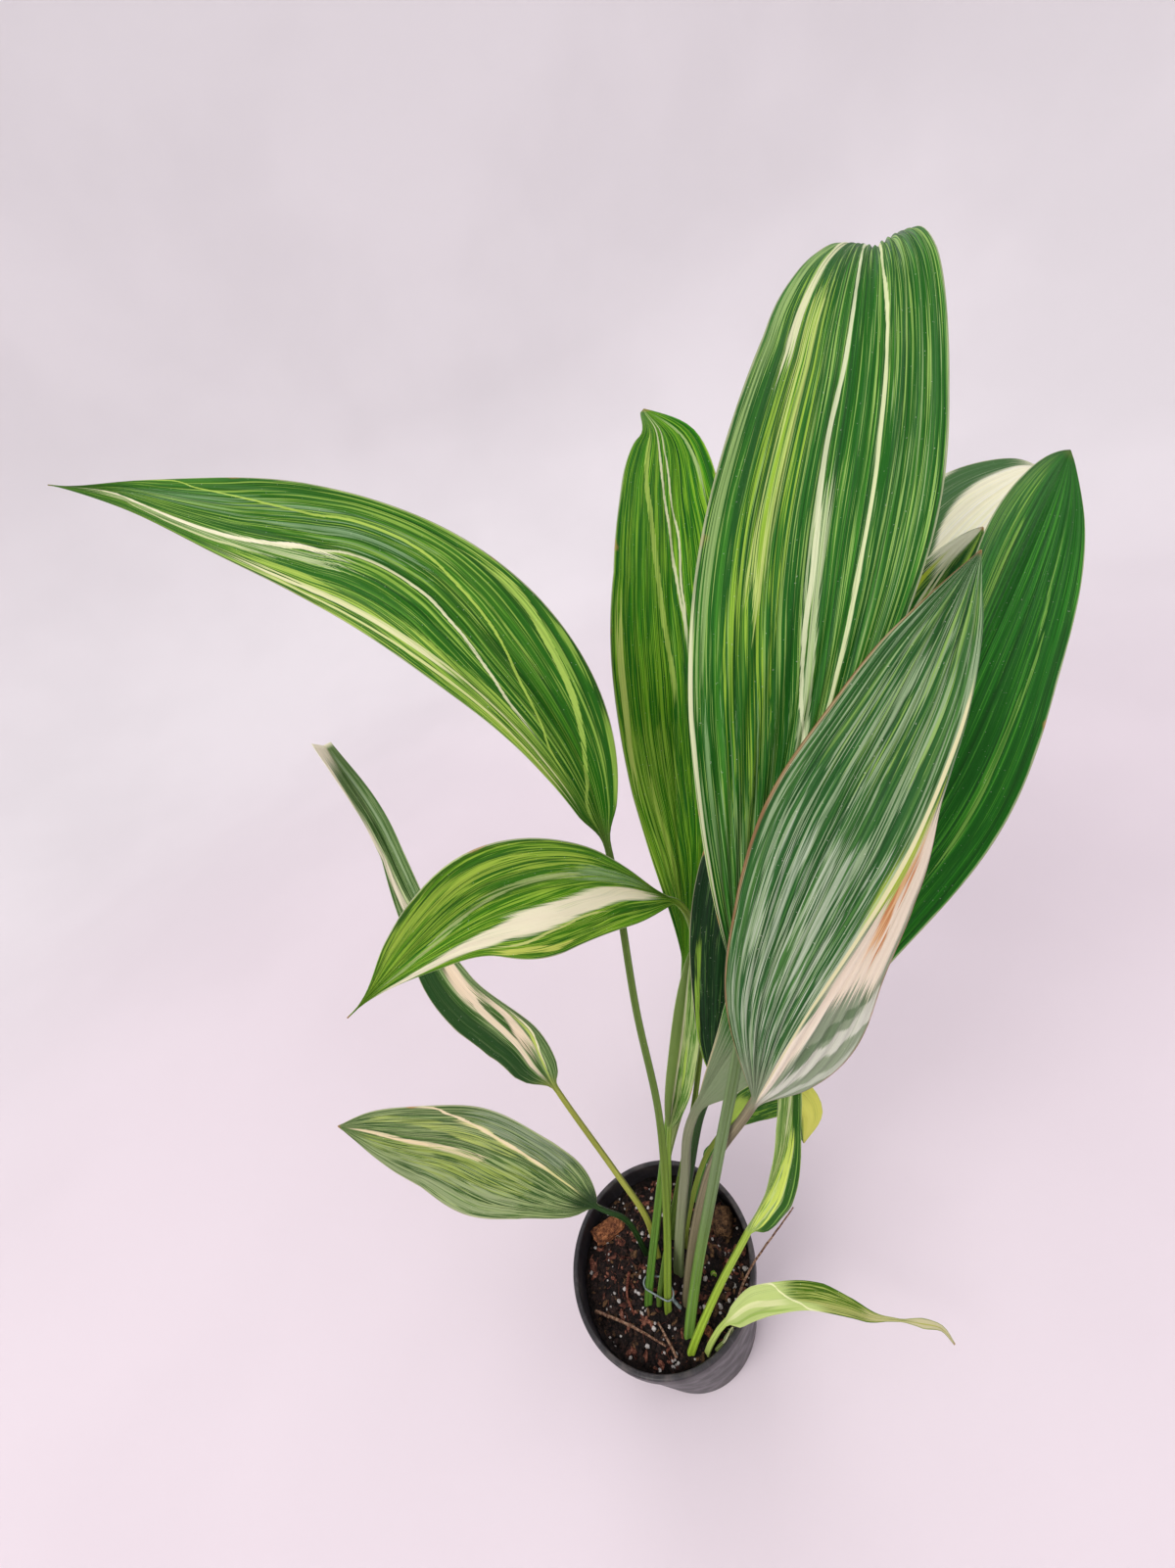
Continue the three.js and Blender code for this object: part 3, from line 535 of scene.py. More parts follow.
FULL_WAVE_HALF_WIDTH = 20
EDGE_PHASE_STEP = 1.9
STALK_LIP, STALK_CROWN, STALK_BELLY = 0.2, 0.6, 0.75
GROOVE_DEPTH, GROOVE_SHARPNESS = 0.3, 8
CURVE_STEPS = 600


# %% Leaf line
def curve_through(points):
    """Evenly counted points on a smooth curve through the given ones, and their lengths along it."""
    P = np.asarray(points, float)
    before = np.vstack([2 * P[0] - P[1], P])
    after = np.vstack([P, 2 * P[-1] - P[-2]])
    made = []
    for step in range(CURVE_STEPS + 1):
        at = (len(P) - 1) * step / CURVE_STEPS
        i = min(int(at), len(P) - 2)
        w = at - i
        p0, p1, p2, p3 = before[i], P[i], P[i + 1], after[i + 2]
        d0, d1, d2 = (max(np.linalg.norm(a - b) ** 0.5, 1e-4) for a, b in ((p1, p0), (p2, p1), (p3, p2)))
        t1 = ((p1 - p0) / d0 - (p2 - p0) / (d0 + d1) + (p2 - p1) / d1) * d1
        t2 = ((p2 - p1) / d1 - (p3 - p1) / (d1 + d2) + (p3 - p2) / d2) * d1
        squared = -3 * p1 + 3 * p2 - 2 * t1 - t2
        cubed = 2 * p1 - 2 * p2 + t1 + t2
        made.append(p1 + t1 * w + squared * w**2 + cubed * w**3)
    made = np.array(made)
    lengths = np.concatenate([[0], np.cumsum(np.linalg.norm(np.diff(made, axis=0), axis=1))])
    return made, lengths


def line_at(line, lengths, at):
    """The point that lies at a length along a line."""
    return np.array([np.interp(at, lengths, line[:, k]) for k in range(3)])


def leaf_line(leaf):
    """The middle line from the buried foot to the tip, and the length at which the blade starts."""
    foot = np.array(leaf["stalk"][0], float)
    lean = unit(np.array(leaf["stalk"][1]) - foot)
    buried = foot - ROOT_DEPTH * unit(lean + np.array((0, 0, 1.2)))
    points = [buried, *leaf["stalk"], *leaf["blade"]]
    line, lengths = curve_through(points)
    start = lengths[round((len(leaf["stalk"]) + 1) / (len(points) - 1) * CURVE_STEPS)]
    return line, lengths, start


def along_list(values, v):
    """The value at v, from 0 to 1, along a list of evenly spaced ones."""
    values = np.asarray(values, float)
    if len(values) == 1:
        return values[0]
    at = min(max(v, 0), 1) * (len(values) - 1)
    i = min(int(at), len(values) - 2)
    return values[i] * (1 - at + i) + values[i + 1] * (at - i)


def blade_share(v, taper):
    """Half width as a share of the widest: from two tapers, or from shares at even places."""
    if len(taper) > 2:
        return np.interp(v, np.linspace(0, 1, len(taper)), taper)
    base, tip = taper
    peak = base / (base + tip)
    return (v / peak) ** base * ((1 - v) / (1 - peak)) ** tip


line, lengths, start = leaf_line(LEAVES["leaf_tall_front"])
print("tallest leaf: stalk", round(start), "mm, blade", round(lengths[-1] - start), "mm")

# %% [markdown]
# ## Leaf sections
# Each row of the grid is one slice through the leaf. On the stalk it is a fat crescent with a groove on
# its upper side and fine ribs below. Over the first part of the blade it flattens into a thin folded
# strip. Long pleats run along a blade like the folds of a fan, and the edges wave a little.

# %% Leaf mesh
STALK_ROW = 7
BLADE_ROW = 4.2
RIB_COUNT, RIB_HEIGHT = 9, 0.1
MIDRIB_GROOVE, MIDRIB_RIDGE, MIDRIB_WIDTH = 0.7, 0.9, 2.2
PLEAT_SPACING, PLEAT_DRIFT = 8, 1.2
SAG_NOISE, FULL_SAG_HALF_WIDTH = 0.9, 12
BASE_FADE, TIP_FADE = 0.2, 0.12
TANGENT_REACH = 0.8


def leaf_rows(lengths, start):
    """Places along the leaf at which it is sliced, closer together on the blade."""
    stalk_count = max(4, round(start / STALK_ROW))
    blade_count = max(14, round((lengths[-1] - start) / BLADE_ROW))
    stalk = np.linspace(0, start, stalk_count, endpoint=False)
    return np.concatenate([stalk, np.linspace(start, lengths[-1], blade_count + 1)])


def leaf_slice(leaf, line, lengths, start, at, s, seed):
    """The upper and lower points of one slice, in mm, and its share v of the blade's length. s runs
    from -1 at the left edge to 1 at the right one."""
    centre = line_at(line, lengths, at)
    ahead = line_at(line, lengths, at + TANGENT_REACH)
    tangent = unit(ahead - line_at(line, lengths, at - TANGENT_REACH))
    v = min(max((at - start) / (lengths[-1] - start), 0), 1)
    right = along_list(leaf["across"], v)
    right = unit(right - tangent * (right @ tangent))
    up = np.cross(right, tangent)
    radius = along_list(leaf["stalk_radius"], min(at / start, 1))
    neck = TIP_HALF_WIDTH + (radius - TIP_HALF_WIDTH) * (1 - smooth_step(v / NECK_SHARE))
    halves = [leaf.get("left", leaf), leaf.get("right", leaf)]
    widths = [max(h["width"] / 2 * (blade_share(v, h["shape"]) if v > 0 else 0), neck) for h in halves]
    folds = [math.radians(along_list(h["fold"], v)) for h in halves]
    half = np.where(s < 0, *widths)
    fold = np.where(s < 0, *folds)
    height, waves, phase = leaf["wave"]
    flat = smooth_step(v / BLEND_SHARE)
    ripple = np.sin(math.tau * waves * v + phase + np.where(s > 0, EDGE_PHASE_STEP, 0))
    wave = height * s * s * ripple * np.minimum(1, half / FULL_WAVE_HALF_WIDTH)
    lift = half * np.abs(s) * np.sin(fold) + wave
    side_mm = s * half
    fade = smooth_step(v / BASE_FADE) * smooth_step((1 - v) / TIP_FADE)
    pleats = np.sin(math.tau * s * leaf["half"] / PLEAT_SPACING + PLEAT_DRIFT * math.sin(3 * v + seed))
    lift = lift + leaf["pleat"] * fade * pleats * np.clip(1 - np.abs(s) ** 6, 0, 1)
    sag = np.array([noise.noise(Vector((x * 1.3 + seed * 7, v * 5, seed))) for x in s])
    lift = lift + SAG_NOISE * fade * sag * np.minimum(1, half / FULL_SAG_HALF_WIDTH)
    rib = np.exp(-((side_mm / MIDRIB_WIDTH) ** 2))
    blade_top = lift + BLADE_THICKNESS / 2 - MIDRIB_GROOVE * rib * fade
    blade_low = lift - BLADE_THICKNESS / 2 - MIDRIB_GROOVE * rib * fade - MIDRIB_RIDGE * rib * (1 - v)
    shoulder = np.sin(math.pi * (s + 1) / 2)
    ribs = RIB_HEIGHT * np.cos(math.tau * RIB_COUNT * s) * shoulder
    groove = GROOVE_DEPTH * np.exp(-GROOVE_SHARPNESS * s * s)
    stalk_top = radius * (STALK_LIP + STALK_CROWN * shoulder - groove)
    stalk_low = -radius * (STALK_LIP + STALK_BELLY * shoulder) - ribs
    side = -radius * np.cos(math.pi * (s + 1) / 2) * (1 - flat) + half * s * np.cos(fold) * flat
    top = stalk_top * (1 - flat) + blade_top * flat
    low = stalk_low * (1 - flat) + blade_low * flat
    spread = centre + side[:, None] * right
    return spread + top[:, None] * up, spread + low[:, None] * up, v


def slab_faces(rows, columns):
    """Faces of a closed slab made from an upper and a lower grid of points."""
    faces = []
    lower = rows * columns
    for i in range(rows - 1):
        for j in range(columns - 1):
            a = i * columns + j
            faces.append((a, a + 1, a + columns + 1, a + columns))
            faces.append((lower + a, lower + a + columns, lower + a + columns + 1, lower + a + 1))
        a, b = i * columns, i * columns + columns - 1
        faces.append((a, a + columns, lower + a + columns, lower + a))
        faces.append((b, lower + b, lower + b + columns, b + columns))
    for j in range(columns - 1):
        end = (rows - 1) * columns + j
        faces.append((j, lower + j, lower + j + 1, j + 1))
        faces.append((end, end + 1, lower + end + 1, lower + end))
    return faces


def make_leaf(name, leaf, material, seed):
    """One leaf, stalk and blade in one mesh, with its across and along values."""
    line, lengths, start = leaf_line(leaf)
    columns = leaf["columns"]
    shares = np.linspace(-1, 1, columns)
    upper, lower, along = [], [], []
    for at in leaf_rows(lengths, start):
        top, low, v = leaf_slice(leaf, line, lengths, start, at, shares, seed)
        upper.append(top)
        lower.append(low)
        along.append(v if at >= start else at / start - 1)
    rows = len(upper)
    points = np.concatenate([np.concatenate(upper), np.concatenate(lower)]) * MM
    obj = make_object(name, points, slab_faces(rows, columns), material)
    set_values(obj, "across", np.tile(shares, 2 * rows))
    set_values(obj, "along", np.tile(np.repeat(along, columns), 2))
    set_values(obj, "under", np.repeat([0.0, 1.0], rows * columns))
    return obj


# %% [markdown]
# ## Leaf looks
# Every leaf has its own pattern, so each gets its own short description: two greens, the tone and share
# of its pale strips, and the colours of its stalk. Bundles are bands in which strips crowd together,
# and stripes are solid bands. Both give a colour, a half width, and the places that they pass through,
# each as (along, across). Veins don't run straight up every leaf: where they wander, a flow says how
# far. An image could carry these patterns, but a few numbers stay sharp at any size.
# Some greyish bundles and stripes stand for painted sheen, and one leaf's dark greens for painted shade; each
# is marked at its leaf.

# %% Leaf looks
CREAM = (242, 236, 204)
IVORY = (222, 224, 180)
PALE_GREEN = (166, 192, 122)
YELLOW_GREEN = (136, 176, 58)
LIME = (170, 200, 84)
GREY_GREEN = (104, 132, 92)
DARK = (12, 58, 10)
STAIN = (190, 136, 84)

LOOKS = {
    "leaf_tall_front": {
        "greens": ((28, 94, 20), (66, 132, 36)), "strips": ((160, 198, 100), 0.28),
        "stalk": ((112, 152, 58), (116, 140, 92)),
        "flow": [(0.1, 0.45), (0.3, 0.25), (0.5, 0.02), (0.7, -0.02), (0.86, -0.2), (0.97, -0.35)],
        "bundles": [
            ((158, 196, 62), 0.26, [(0.28, -0.42), (0.46, -0.5), (0.62, -0.5), (0.74, -0.6)], 0.4),
            ((196, 214, 120), 0.09, [(0.46, -0.5), (0.6, -0.5), (0.72, -0.54)], 0.6),
            ((190, 206, 156), 0.09, [(0.26, 0.34), (0.36, 0.18), (0.44, 0.04), (0.54, -0.02)], 0.6),
            ((150, 182, 116), 0.4, [(0.38, 0.72), (0.6, 0.72), (0.86, 0.72)], 0.2),
            (IVORY, 0.05, [(0.66, -0.7), (0.8, -0.71), (0.88, -0.8)], 0.85),
            ((150, 184, 108), 0.05, [(0.36, -0.91), (0.7, -0.92), (0.9, -0.91)], 0.6),
            ((140, 176, 116), 0.6, [(0.05, -0.3), (0.2, -0.4), (0.32, -0.4)], 0.25),
        ],
        "stripes": [
            ((218, 226, 182), 0.026, [(0.32, 0.3), (0.36, 0.14), (0.42, 0.02), (0.5, -0.02), (0.6, -0.08),
                (0.7, -0.03), (0.79, -0.12), (0.86, -0.25), (0.95, -0.42)]),
            ((222, 230, 176), 0.021, [(0.36, 0.49), (0.42, 0.46), (0.5, 0.42), (0.6, 0.4), (0.69, 0.38),
                (0.76, 0.31), (0.82, 0.19), (0.88, 0.12), (0.97, 0.08)]),
            ((214, 220, 176), 0.022, [(0.14, -0.93), (0.26, -0.96), (0.4, -0.98)]),
        ],
    },
    "leaf_front_bent": {
        "greens": ((36, 88, 34), (74, 118, 54)), "strips": ((156, 178, 138), 0.34), "dull": 0.0,
        "stalk": ((120, 112, 84), (150, 140, 112)), "margin": (176, 120, 88),
        "bundles": [
            # The grey bundles on this leaf are partly pale variegation and partly painted sheen on the lower
            # blade.
            ((176, 190, 164), 0.5, [(0.18, 0.45), (0.32, 0.45), (0.56, 0.4)], 0.4),
            ((136, 150, 120), 0.9, [(0.0, 0.4), (0.08, 0.4), (0.14, 0.4)], 0.8),
            ((136, 172, 84), 0.4, [(0.7, 0.5), (0.8, 0.5), (0.92, 0.4)], 0.35),
            ((176, 184, 164), 0.5, [(0.04, -0.6), (0.2, -0.6), (0.34, -0.6)], 0.6),
        ],
        "stripes": [
            # The first four stripes, grey and grey-white near the base, are partly pale bands and partly
            # painted sheen.
            ((136, 150, 122), 0.7, [(0.0, -0.7), (0.2, -0.8), (0.34, -1.0)]),
            ((204, 206, 190), 0.13, [(0.0, -0.28), (0.14, -0.42), (0.24, -0.72), (0.3, -0.96)]),
            ((186, 194, 174), 0.1, [(0.0, -0.6), (0.08, -0.72), (0.18, -0.98)]),
            ((100, 122, 88), 0.08, [(0.16, -0.3), (0.26, -0.52), (0.36, -0.92)]),
            ((242, 230, 208), 0.12, [(0.06, -0.05), (0.2, -0.09), (0.3, -0.16), (0.4, -0.26)]),
            ((244, 230, 206), 0.46, [(0.36, -0.5), (0.5, -0.52), (0.64, -0.56)]),
            ((228, 182, 128), 0.09, [(0.45, -0.44), (0.58, -0.38)]),
            ((206, 140, 84), 0.04, [(0.48, -0.48), (0.57, -0.4)]),
            ((206, 140, 84), 0.025, [(0.44, -0.64), (0.54, -0.54)]),
            ((206, 140, 84), 0.02, [(0.5, -0.34), (0.6, -0.28)]),
            ((168, 192, 56), 0.17, [(0.54, -0.12), (0.66, -0.2), (0.82, -0.34)]),
            ((222, 216, 170), 0.014, [(0.04, -0.01), (0.4, 0.0), (0.78, 0.0)]),
        ],
    },
    "leaf_right_broad": {
        "greens": ((14, 90, 6), (34, 120, 14)), "strips": ((66, 146, 34), 0.25),
        "stalk": ((120, 142, 84), (132, 136, 108)),
        "bundles": [
            ((140, 186, 74), 0.13, [(0.76, -0.44), (0.84, -0.46), (0.92, -0.6)], 0.5),
            ((116, 168, 66), 0.12, [(0.8, -0.84), (0.88, -0.84), (0.96, -0.84)], 0.45),
            ((120, 172, 70), 0.03, [(0.5, 0.66), (0.64, 0.62), (0.74, 0.64), (0.84, 0.54)], 0.6),
        ],
        "stripes": [
            ((126, 140, 106), 1.6, [(0.0, 0.0), (0.12, 0.0)]),
            ((176, 168, 132), 0.06, [(0.0, -0.9), (0.12, -0.96)]),
        ],
        "tip": (92, 120, 46),
    },
    "leaf_back_upright": {
        "greens": ((28, 104, 2), (66, 140, 12)), "strips": ((140, 190, 44), 0.4),
        "stalk": ((86, 132, 44), (120, 156, 64)),
        "flow": [(0.1, 0.5), (0.2, 0.3), (0.3, 0.05), (0.42, -0.1), (0.55, -0.15), (0.7, -0.3),
            (0.9, -0.5)],
        "bundles": [
            ((196, 214, 110), 0.06, [(0.36, -0.88), (0.48, -0.84), (0.58, -0.86)], 0.85),
            ((176, 206, 92), 0.05, [(0.5, 0.04), (0.59, -0.08), (0.69, -0.27), (0.78, -0.46), (0.86, -0.62),
                (0.92, -0.64)], 0.85),
            ((156, 196, 70), 0.6, [(0.16, -0.5), (0.3, -0.5), (0.42, -0.5)], 0.5),
            (LIME, 0.07, [(0.18, -0.22), (0.26, -0.4), (0.34, -0.56)], 0.7),
            (PALE_GREEN, 0.06, [(0.86, 0.58), (0.9, 0.5), (0.95, 0.4)], 0.85),
        ],
        "stripes": [
            (IVORY, 0.024, [(0.6, 0.23), (0.65, 0.14), (0.7, 0.04), (0.76, -0.09), (0.82, -0.23),
                (0.88, -0.36), (0.93, -0.42), (0.97, -0.38)]),
            (IVORY, 0.02, [(0.62, 0.22), (0.68, 0.15), (0.75, 0.08), (0.81, -0.08), (0.87, -0.19),
                (0.91, -0.28), (0.96, -0.22)]),
        ],
    },
    "leaf_arching_left": {
        "greens": ((34, 98, 10), (76, 132, 32)), "strips": ((150, 188, 76), 0.32),
        "stalk": ((132, 160, 50), (104, 130, 62)),
        "flow": [(0.1, -0.5), (0.22, -0.45), (0.31, -0.34), (0.39, -0.15), (0.455, 0.0), (0.52, 0.04),
            (0.59, -0.12), (0.66, -0.3), (0.72, -0.42), (0.8, -0.42), (0.88, -0.1), (0.95, 0.1)],
        "bundles": [
            ((176, 204, 84), 0.26, [(0.14, -0.8), (0.3, -0.78), (0.5, -0.8), (0.66, -0.85)], 0.42),
            ((170, 202, 90), 0.07, [(0.05, -0.54), (0.11, -0.1), (0.21, 0.44), (0.28, 0.63),
                (0.36, 0.84)], 0.85),
            ((190, 206, 150), 0.13, [(0.56, -0.24), (0.64, -0.44), (0.71, -0.6), (0.8, -0.64),
                (0.9, -0.2)], 0.5),
            # This greyish green bundle in the middle of the blade is painted sheen.
            ((128, 164, 116), 0.34, [(0.48, 0.36), (0.6, 0.36), (0.72, 0.3), (0.85, 0.2)], 0.45),
        ],
        "stripes": [
            (CREAM, 0.042, [(0.58, -0.14), (0.66, -0.37), (0.71, -0.5), (0.78, -0.54), (0.83, -0.44),
                (0.89, -0.1), (0.95, 0.1)]),
            (IVORY, 0.022, [(0.24, -0.54), (0.31, -0.38), (0.39, -0.15), (0.455, 0.0), (0.52, 0.04),
                (0.59, -0.15), (0.66, -0.36)]),
            ((200, 208, 150), 0.024, [(0.68, -0.62), (0.74, -0.72), (0.82, -0.7), (0.9, -0.34)]),
            ((222, 222, 170), 0.03, [(0.38, -0.74), (0.52, -0.76), (0.66, -0.88)]),
            ((206, 212, 150), 0.016, [(0.1, -0.78), (0.24, -0.74), (0.38, -0.7), (0.52, -0.72),
                (0.64, -0.8)]),
            ((206, 214, 140), 0.018, [(0.12, -0.9), (0.3, -0.86), (0.52, -0.88), (0.62, -0.92)]),
            (LIME, 0.022, [(0.16, -0.54), (0.21, -0.35), (0.28, -0.12), (0.34, 0.15), (0.41, 0.38),
                (0.48, 0.57), (0.54, 0.58), (0.61, 0.46), (0.68, 0.5), (0.75, 0.65), (0.8, 0.95)]),
        ],
    },
    "leaf_left_middle": {
        "greens": ((52, 114, 6), (100, 152, 22)), "strips": ((158, 196, 62), 0.38),
        "stalk": ((90, 122, 46), (132, 160, 60)),
        "flow": [(0.1, 0.3), (0.2, 0.25), (0.3, 0.0), (0.45, -0.2), (0.6, -0.32), (0.8, -0.45)],
        "bundles": [
            ((160, 192, 66), 0.16, [(0.35, 0.62), (0.6, 0.6), (0.74, 0.62), (0.9, 0.7)], 0.6),
            ((196, 206, 96), 0.05, [(0.38, -0.88), (0.5, -0.86), (0.58, -0.9)], 0.85),
            ((170, 190, 120), 0.08, [(0.36, 0.3), (0.58, 0.1), (0.72, -0.15), (0.88, -0.35)], 0.65),
            ((140, 170, 124), 0.24, [(0.18, 0.6), (0.26, 0.5), (0.34, 0.4)], 0.6),
        ],
        "stripes": [
            (CREAM, 0.2, [(0.15, -0.02), (0.2, -0.03), (0.25, -0.1), (0.3, -0.21), (0.4, -0.36),
                (0.5, -0.45)]),
            (CREAM, 0.15, [(0.44, -0.39), (0.5, -0.45), (0.6, -0.58), (0.7, -0.68)]),
            (CREAM, 0.11, [(0.66, -0.64), (0.78, -0.78), (0.88, -0.88)]),
            ((196, 206, 120), 0.02, [(0.3, -0.46), (0.4, -0.6), (0.56, -0.78)]),
        ],
    },
    "leaf_shaded_upright": {
        # Its greens and stalk are much darker than the other leaves': painted shade from the leaves in front
        # of it.
        "greens": ((14, 46, 18), (30, 72, 28)), "strips": ((84, 122, 60), 0.15),
        "stalk": ((70, 66, 44), (44, 72, 34)),
        "bundles": [(YELLOW_GREEN, 0.08, [(0.05, -0.97), (0.5, -0.78)], 0.7)],
    },
    "leaf_right_cream": {
        "greens": ((252, 250, 214), (255, 254, 232)), "strips": ((226, 230, 180), 0.1), "pale": True,
        "stalk": ((116, 140, 70), (168, 182, 122)),
        "stripes": [
            ((24, 96, 20), 0.26, [(0.6, -0.2), (0.67, -0.32), (0.75, -0.6), (0.83, -0.76), (0.9, -0.82),
                (0.95, -0.86)]),
            (YELLOW_GREEN, 0.12, [(0.1, 0.9), (0.9, 0.9)]),
            ((66, 120, 50), 0.08, [(0.1, 0.1), (0.5, 0.3), (0.7, 0.36)]),
        ],
    },
    "leaf_right_striped": {
        "greens": ((18, 84, 20), (44, 118, 34)), "strips": ((150, 190, 80), 0.4),
        "stalk": ((110, 136, 66), (130, 156, 84)),
        "stripes": [
            ((246, 244, 214), 0.46, [(0.85, -0.72), (0.93, -0.58), (1.0, -0.44)]),
            (IVORY, 0.04, [(0.66, -0.12), (0.76, -0.24), (0.86, -0.36)]),
            (IVORY, 0.035, [(0.66, -0.02), (0.76, -0.1), (0.84, -0.22)]),
            ((190, 208, 60), 0.07, [(0.5, -0.3), (0.7, -0.44), (0.82, -0.62)]),
            ((160, 196, 70), 0.05, [(0.1, 0.4), (0.5, 0.5), (0.95, 0.3)]),
        ],
    },
    "leaf_young_folded": {
        "greens": ((72, 122, 40), (120, 162, 72)), "strips": ((196, 210, 142), 0.45),
        "stalk": ((120, 150, 62), (136, 166, 70)),
        "stripes": [
            ((150, 178, 100), 0.46, [(0.0, -0.6), (1.0, -0.55)]),
            (IVORY, 0.07, [(0.1, 0.0), (0.9, 0.0)]),
            (LIME, 0.06, [(0.35, 0.42), (0.5, 0.34)]),
        ],
    },
    "leaf_right_folded": {
        "greens": ((112, 152, 58), (152, 184, 92)), "strips": ((206, 220, 152), 0.45),
        "stalk": ((160, 194, 56), (160, 190, 70)),
        "bundles": [
            ((200, 218, 96), 0.2, [(0.06, 0.1), (0.3, 0.2), (0.55, 0.3)], 0.8),
            ((224, 230, 176), 0.1, [(0.4, -0.3), (0.6, -0.2), (0.8, -0.1)], 0.7),
            ((84, 128, 46), 0.3, [(0.1, -0.6), (0.9, -0.5)], 0.5),
        ],
        "stripes": [
            ((24, 80, 8), 0.24, [(0.05, 0.84), (0.3, 0.76), (0.5, 0.72), (0.62, 0.66)]),
            ((24, 80, 8), 0.42, [(0.6, 0.62), (0.68, 0.48), (0.8, 0.44), (0.95, 0.4)]),
            ((206, 222, 100), 0.05, [(0.08, 0.52), (0.3, 0.42), (0.54, 0.4)]),
            ((120, 164, 70), 0.025, [(0.12, 0.86), (0.4, 0.8), (0.6, 0.74), (0.9, 0.6)]),
        ],
    },
    "leaf_over_rim": {
        "greens": ((62, 102, 6), (112, 142, 30)), "strips": ((176, 188, 96), 0.42), "dull": 0.0,
        "stalk": ((186, 206, 108), (180, 204, 104)),
        "bundles": [
            ((178, 184, 104), 0.4, [(0.36, 0.6), (0.55, 0.5), (0.72, 0.4)], 0.7),
            ((214, 208, 150), 0.9, [(0.6, 0.1), (0.72, 0.0), (0.84, 0.0)], 0.6),
        ],
        "stripes": [
            ((190, 208, 128), 1.6, [(0.0, 0.0), (0.26, 0.0)]),
            ((190, 208, 128), 0.6, [(0.25, 0.6), (0.31, 0.8), (0.38, 1.0)]),
            ((222, 226, 168), 0.2, [(0.02, 0.1), (0.12, 0.0), (0.24, 0.3)]),
            ((156, 184, 92), 0.08, [(0.02, 0.7), (0.14, 0.6), (0.26, 0.8)]),
            ((232, 236, 182), 0.08, [(0.22, -1.0), (0.26, -0.4), (0.29, 0.1), (0.33, 0.5), (0.39, 1.0)]),
            ((206, 200, 156), 0.9, [(0.8, 0.0), (1.0, 0.0)]),
            ((180, 184, 92), 0.12, [(0.8, 0.2), (1.0, 0.1)]),
        ],
    },
    "leaf_left_low": {
        "greens": ((52, 88, 34), (92, 124, 60)), "strips": ((166, 184, 122), 0.42),
        "stalk": ((34, 60, 28), (44, 78, 34)),
        "flow": [(0.1, -0.1), (0.4, 0.1), (0.6, 0.2), (0.75, 0.1), (0.9, 0.0)],
        "bundles": [
            ((226, 212, 172), 0.05, [(0.5, -0.11), (0.69, -0.11), (0.8, -0.13), (0.94, -0.08)], 0.85),
            ((158, 176, 84), 0.3, [(0.3, -0.3), (0.5, -0.36), (0.7, -0.38), (0.9, -0.4)], 0.5),
            ((176, 192, 100), 0.14, [(0.4, 0.2), (0.6, 0.32), (0.74, 0.5), (0.86, 0.6)], 0.6),
            ((150, 166, 118), 0.35, [(0.3, -0.8), (0.6, -0.8), (0.9, -0.7)], 0.5),
            ((140, 156, 130), 0.4, [(0.26, 0.6), (0.4, 0.7), (0.56, 0.9)], 0.5),
        ],
        "stripes": [
            ((26, 56, 20), 0.9, [(0.0, 0.2), (0.08, 0.2)]),
            ((222, 218, 150), 0.05, [(0.14, 0.09), (0.2, 0.12), (0.29, 0.19), (0.38, 0.3), (0.47, 0.41),
                (0.57, 0.56)]),
            ((238, 222, 182), 0.03, [(0.3, 0.22), (0.38, 0.31), (0.47, 0.42), (0.57, 0.58), (0.66, 0.77),
                (0.72, 0.96)]),
            ((232, 212, 172), 0.022, [(0.7, -0.11), (0.76, -0.12), (0.82, -0.14), (0.9, -0.1)]),
        ],
    },
    "leaf_left_twisted": {
        "greens": ((56, 96, 36), (98, 130, 70)), "strips": ((156, 178, 120), 0.4),
        "stalk": ((150, 156, 60), (170, 176, 80)), "tip": CREAM,
        # Its one greyish bundle, on the upper blade, is painted sheen.
        "bundles": [((150, 172, 132), 0.12, [(0.6, 0.35), (0.8, 0.35), (0.94, 0.3)], 0.6)],
        "stripes": [
            ((30, 68, 24), 0.3, [(0.08, -0.75), (0.3, -0.75), (0.5, -0.75)]),
            ((240, 224, 196), 0.08, [(0.08, -0.32), (0.18, -0.28), (0.28, -0.22), (0.34, -0.1)]),
            ((240, 222, 194), 0.22, [(0.16, 0.0), (0.22, 0.16), (0.28, 0.34)]),
            ((240, 222, 194), 0.34, [(0.33, 0.02), (0.38, 0.06), (0.46, 0.2)]),
            ((190, 208, 100), 0.08, [(0.06, 0.06), (0.13, 0.24), (0.2, 0.5)]),
            ((236, 232, 190), 0.05, [(0.1, 0.24), (0.15, 0.44), (0.2, 0.66)]),
            ((236, 226, 200), 0.16, [(0.58, -0.54), (0.66, -0.66), (0.76, -0.86)]),
            ((190, 204, 150), 0.07, [(0.56, -0.26), (0.66, -0.42), (0.78, -0.66)]),
            ((236, 226, 200), 0.14, [(0.84, -1.0), (0.93, -0.92), (1.0, -0.7)]),
            ((236, 226, 200), 0.7, [(0.965, -0.6), (1.0, -0.3)]),
        ],
    },
    "leaf_drooping_small": {
        "greens": ((34, 84, 28), (66, 112, 36)), "strips": (YELLOW_GREEN, 0.3),
        "stalk": ((150, 166, 72), (146, 168, 70)),
        "stripes": [
            (LIME, 0.5, [(0.0, -0.3), (0.25, -0.3)]),
            ((222, 222, 100), 0.9, [(0.55, 0.5), (1.0, 0.5)]),
        ],
    },
    "leaf_tiny_back": {
        "greens": ((40, 106, 36), (66, 138, 46)), "strips": (YELLOW_GREEN, 0.2),
        "stalk": ((70, 120, 54), (80, 134, 58)),
    },
    "sheath_over_rim": {
        "greens": ((166, 186, 112), (196, 208, 150)), "strips": (IVORY, 0.5),
        "stalk": ((150, 176, 84), (176, 196, 116)),
    },
    "sprout": {
        "greens": ((112, 176, 36), (156, 206, 60)), "strips": (LIME, 0.3),
        "stalk": ((110, 160, 44), (140, 190, 56)),
    },
}
print("leaf looks:", len(LOOKS))

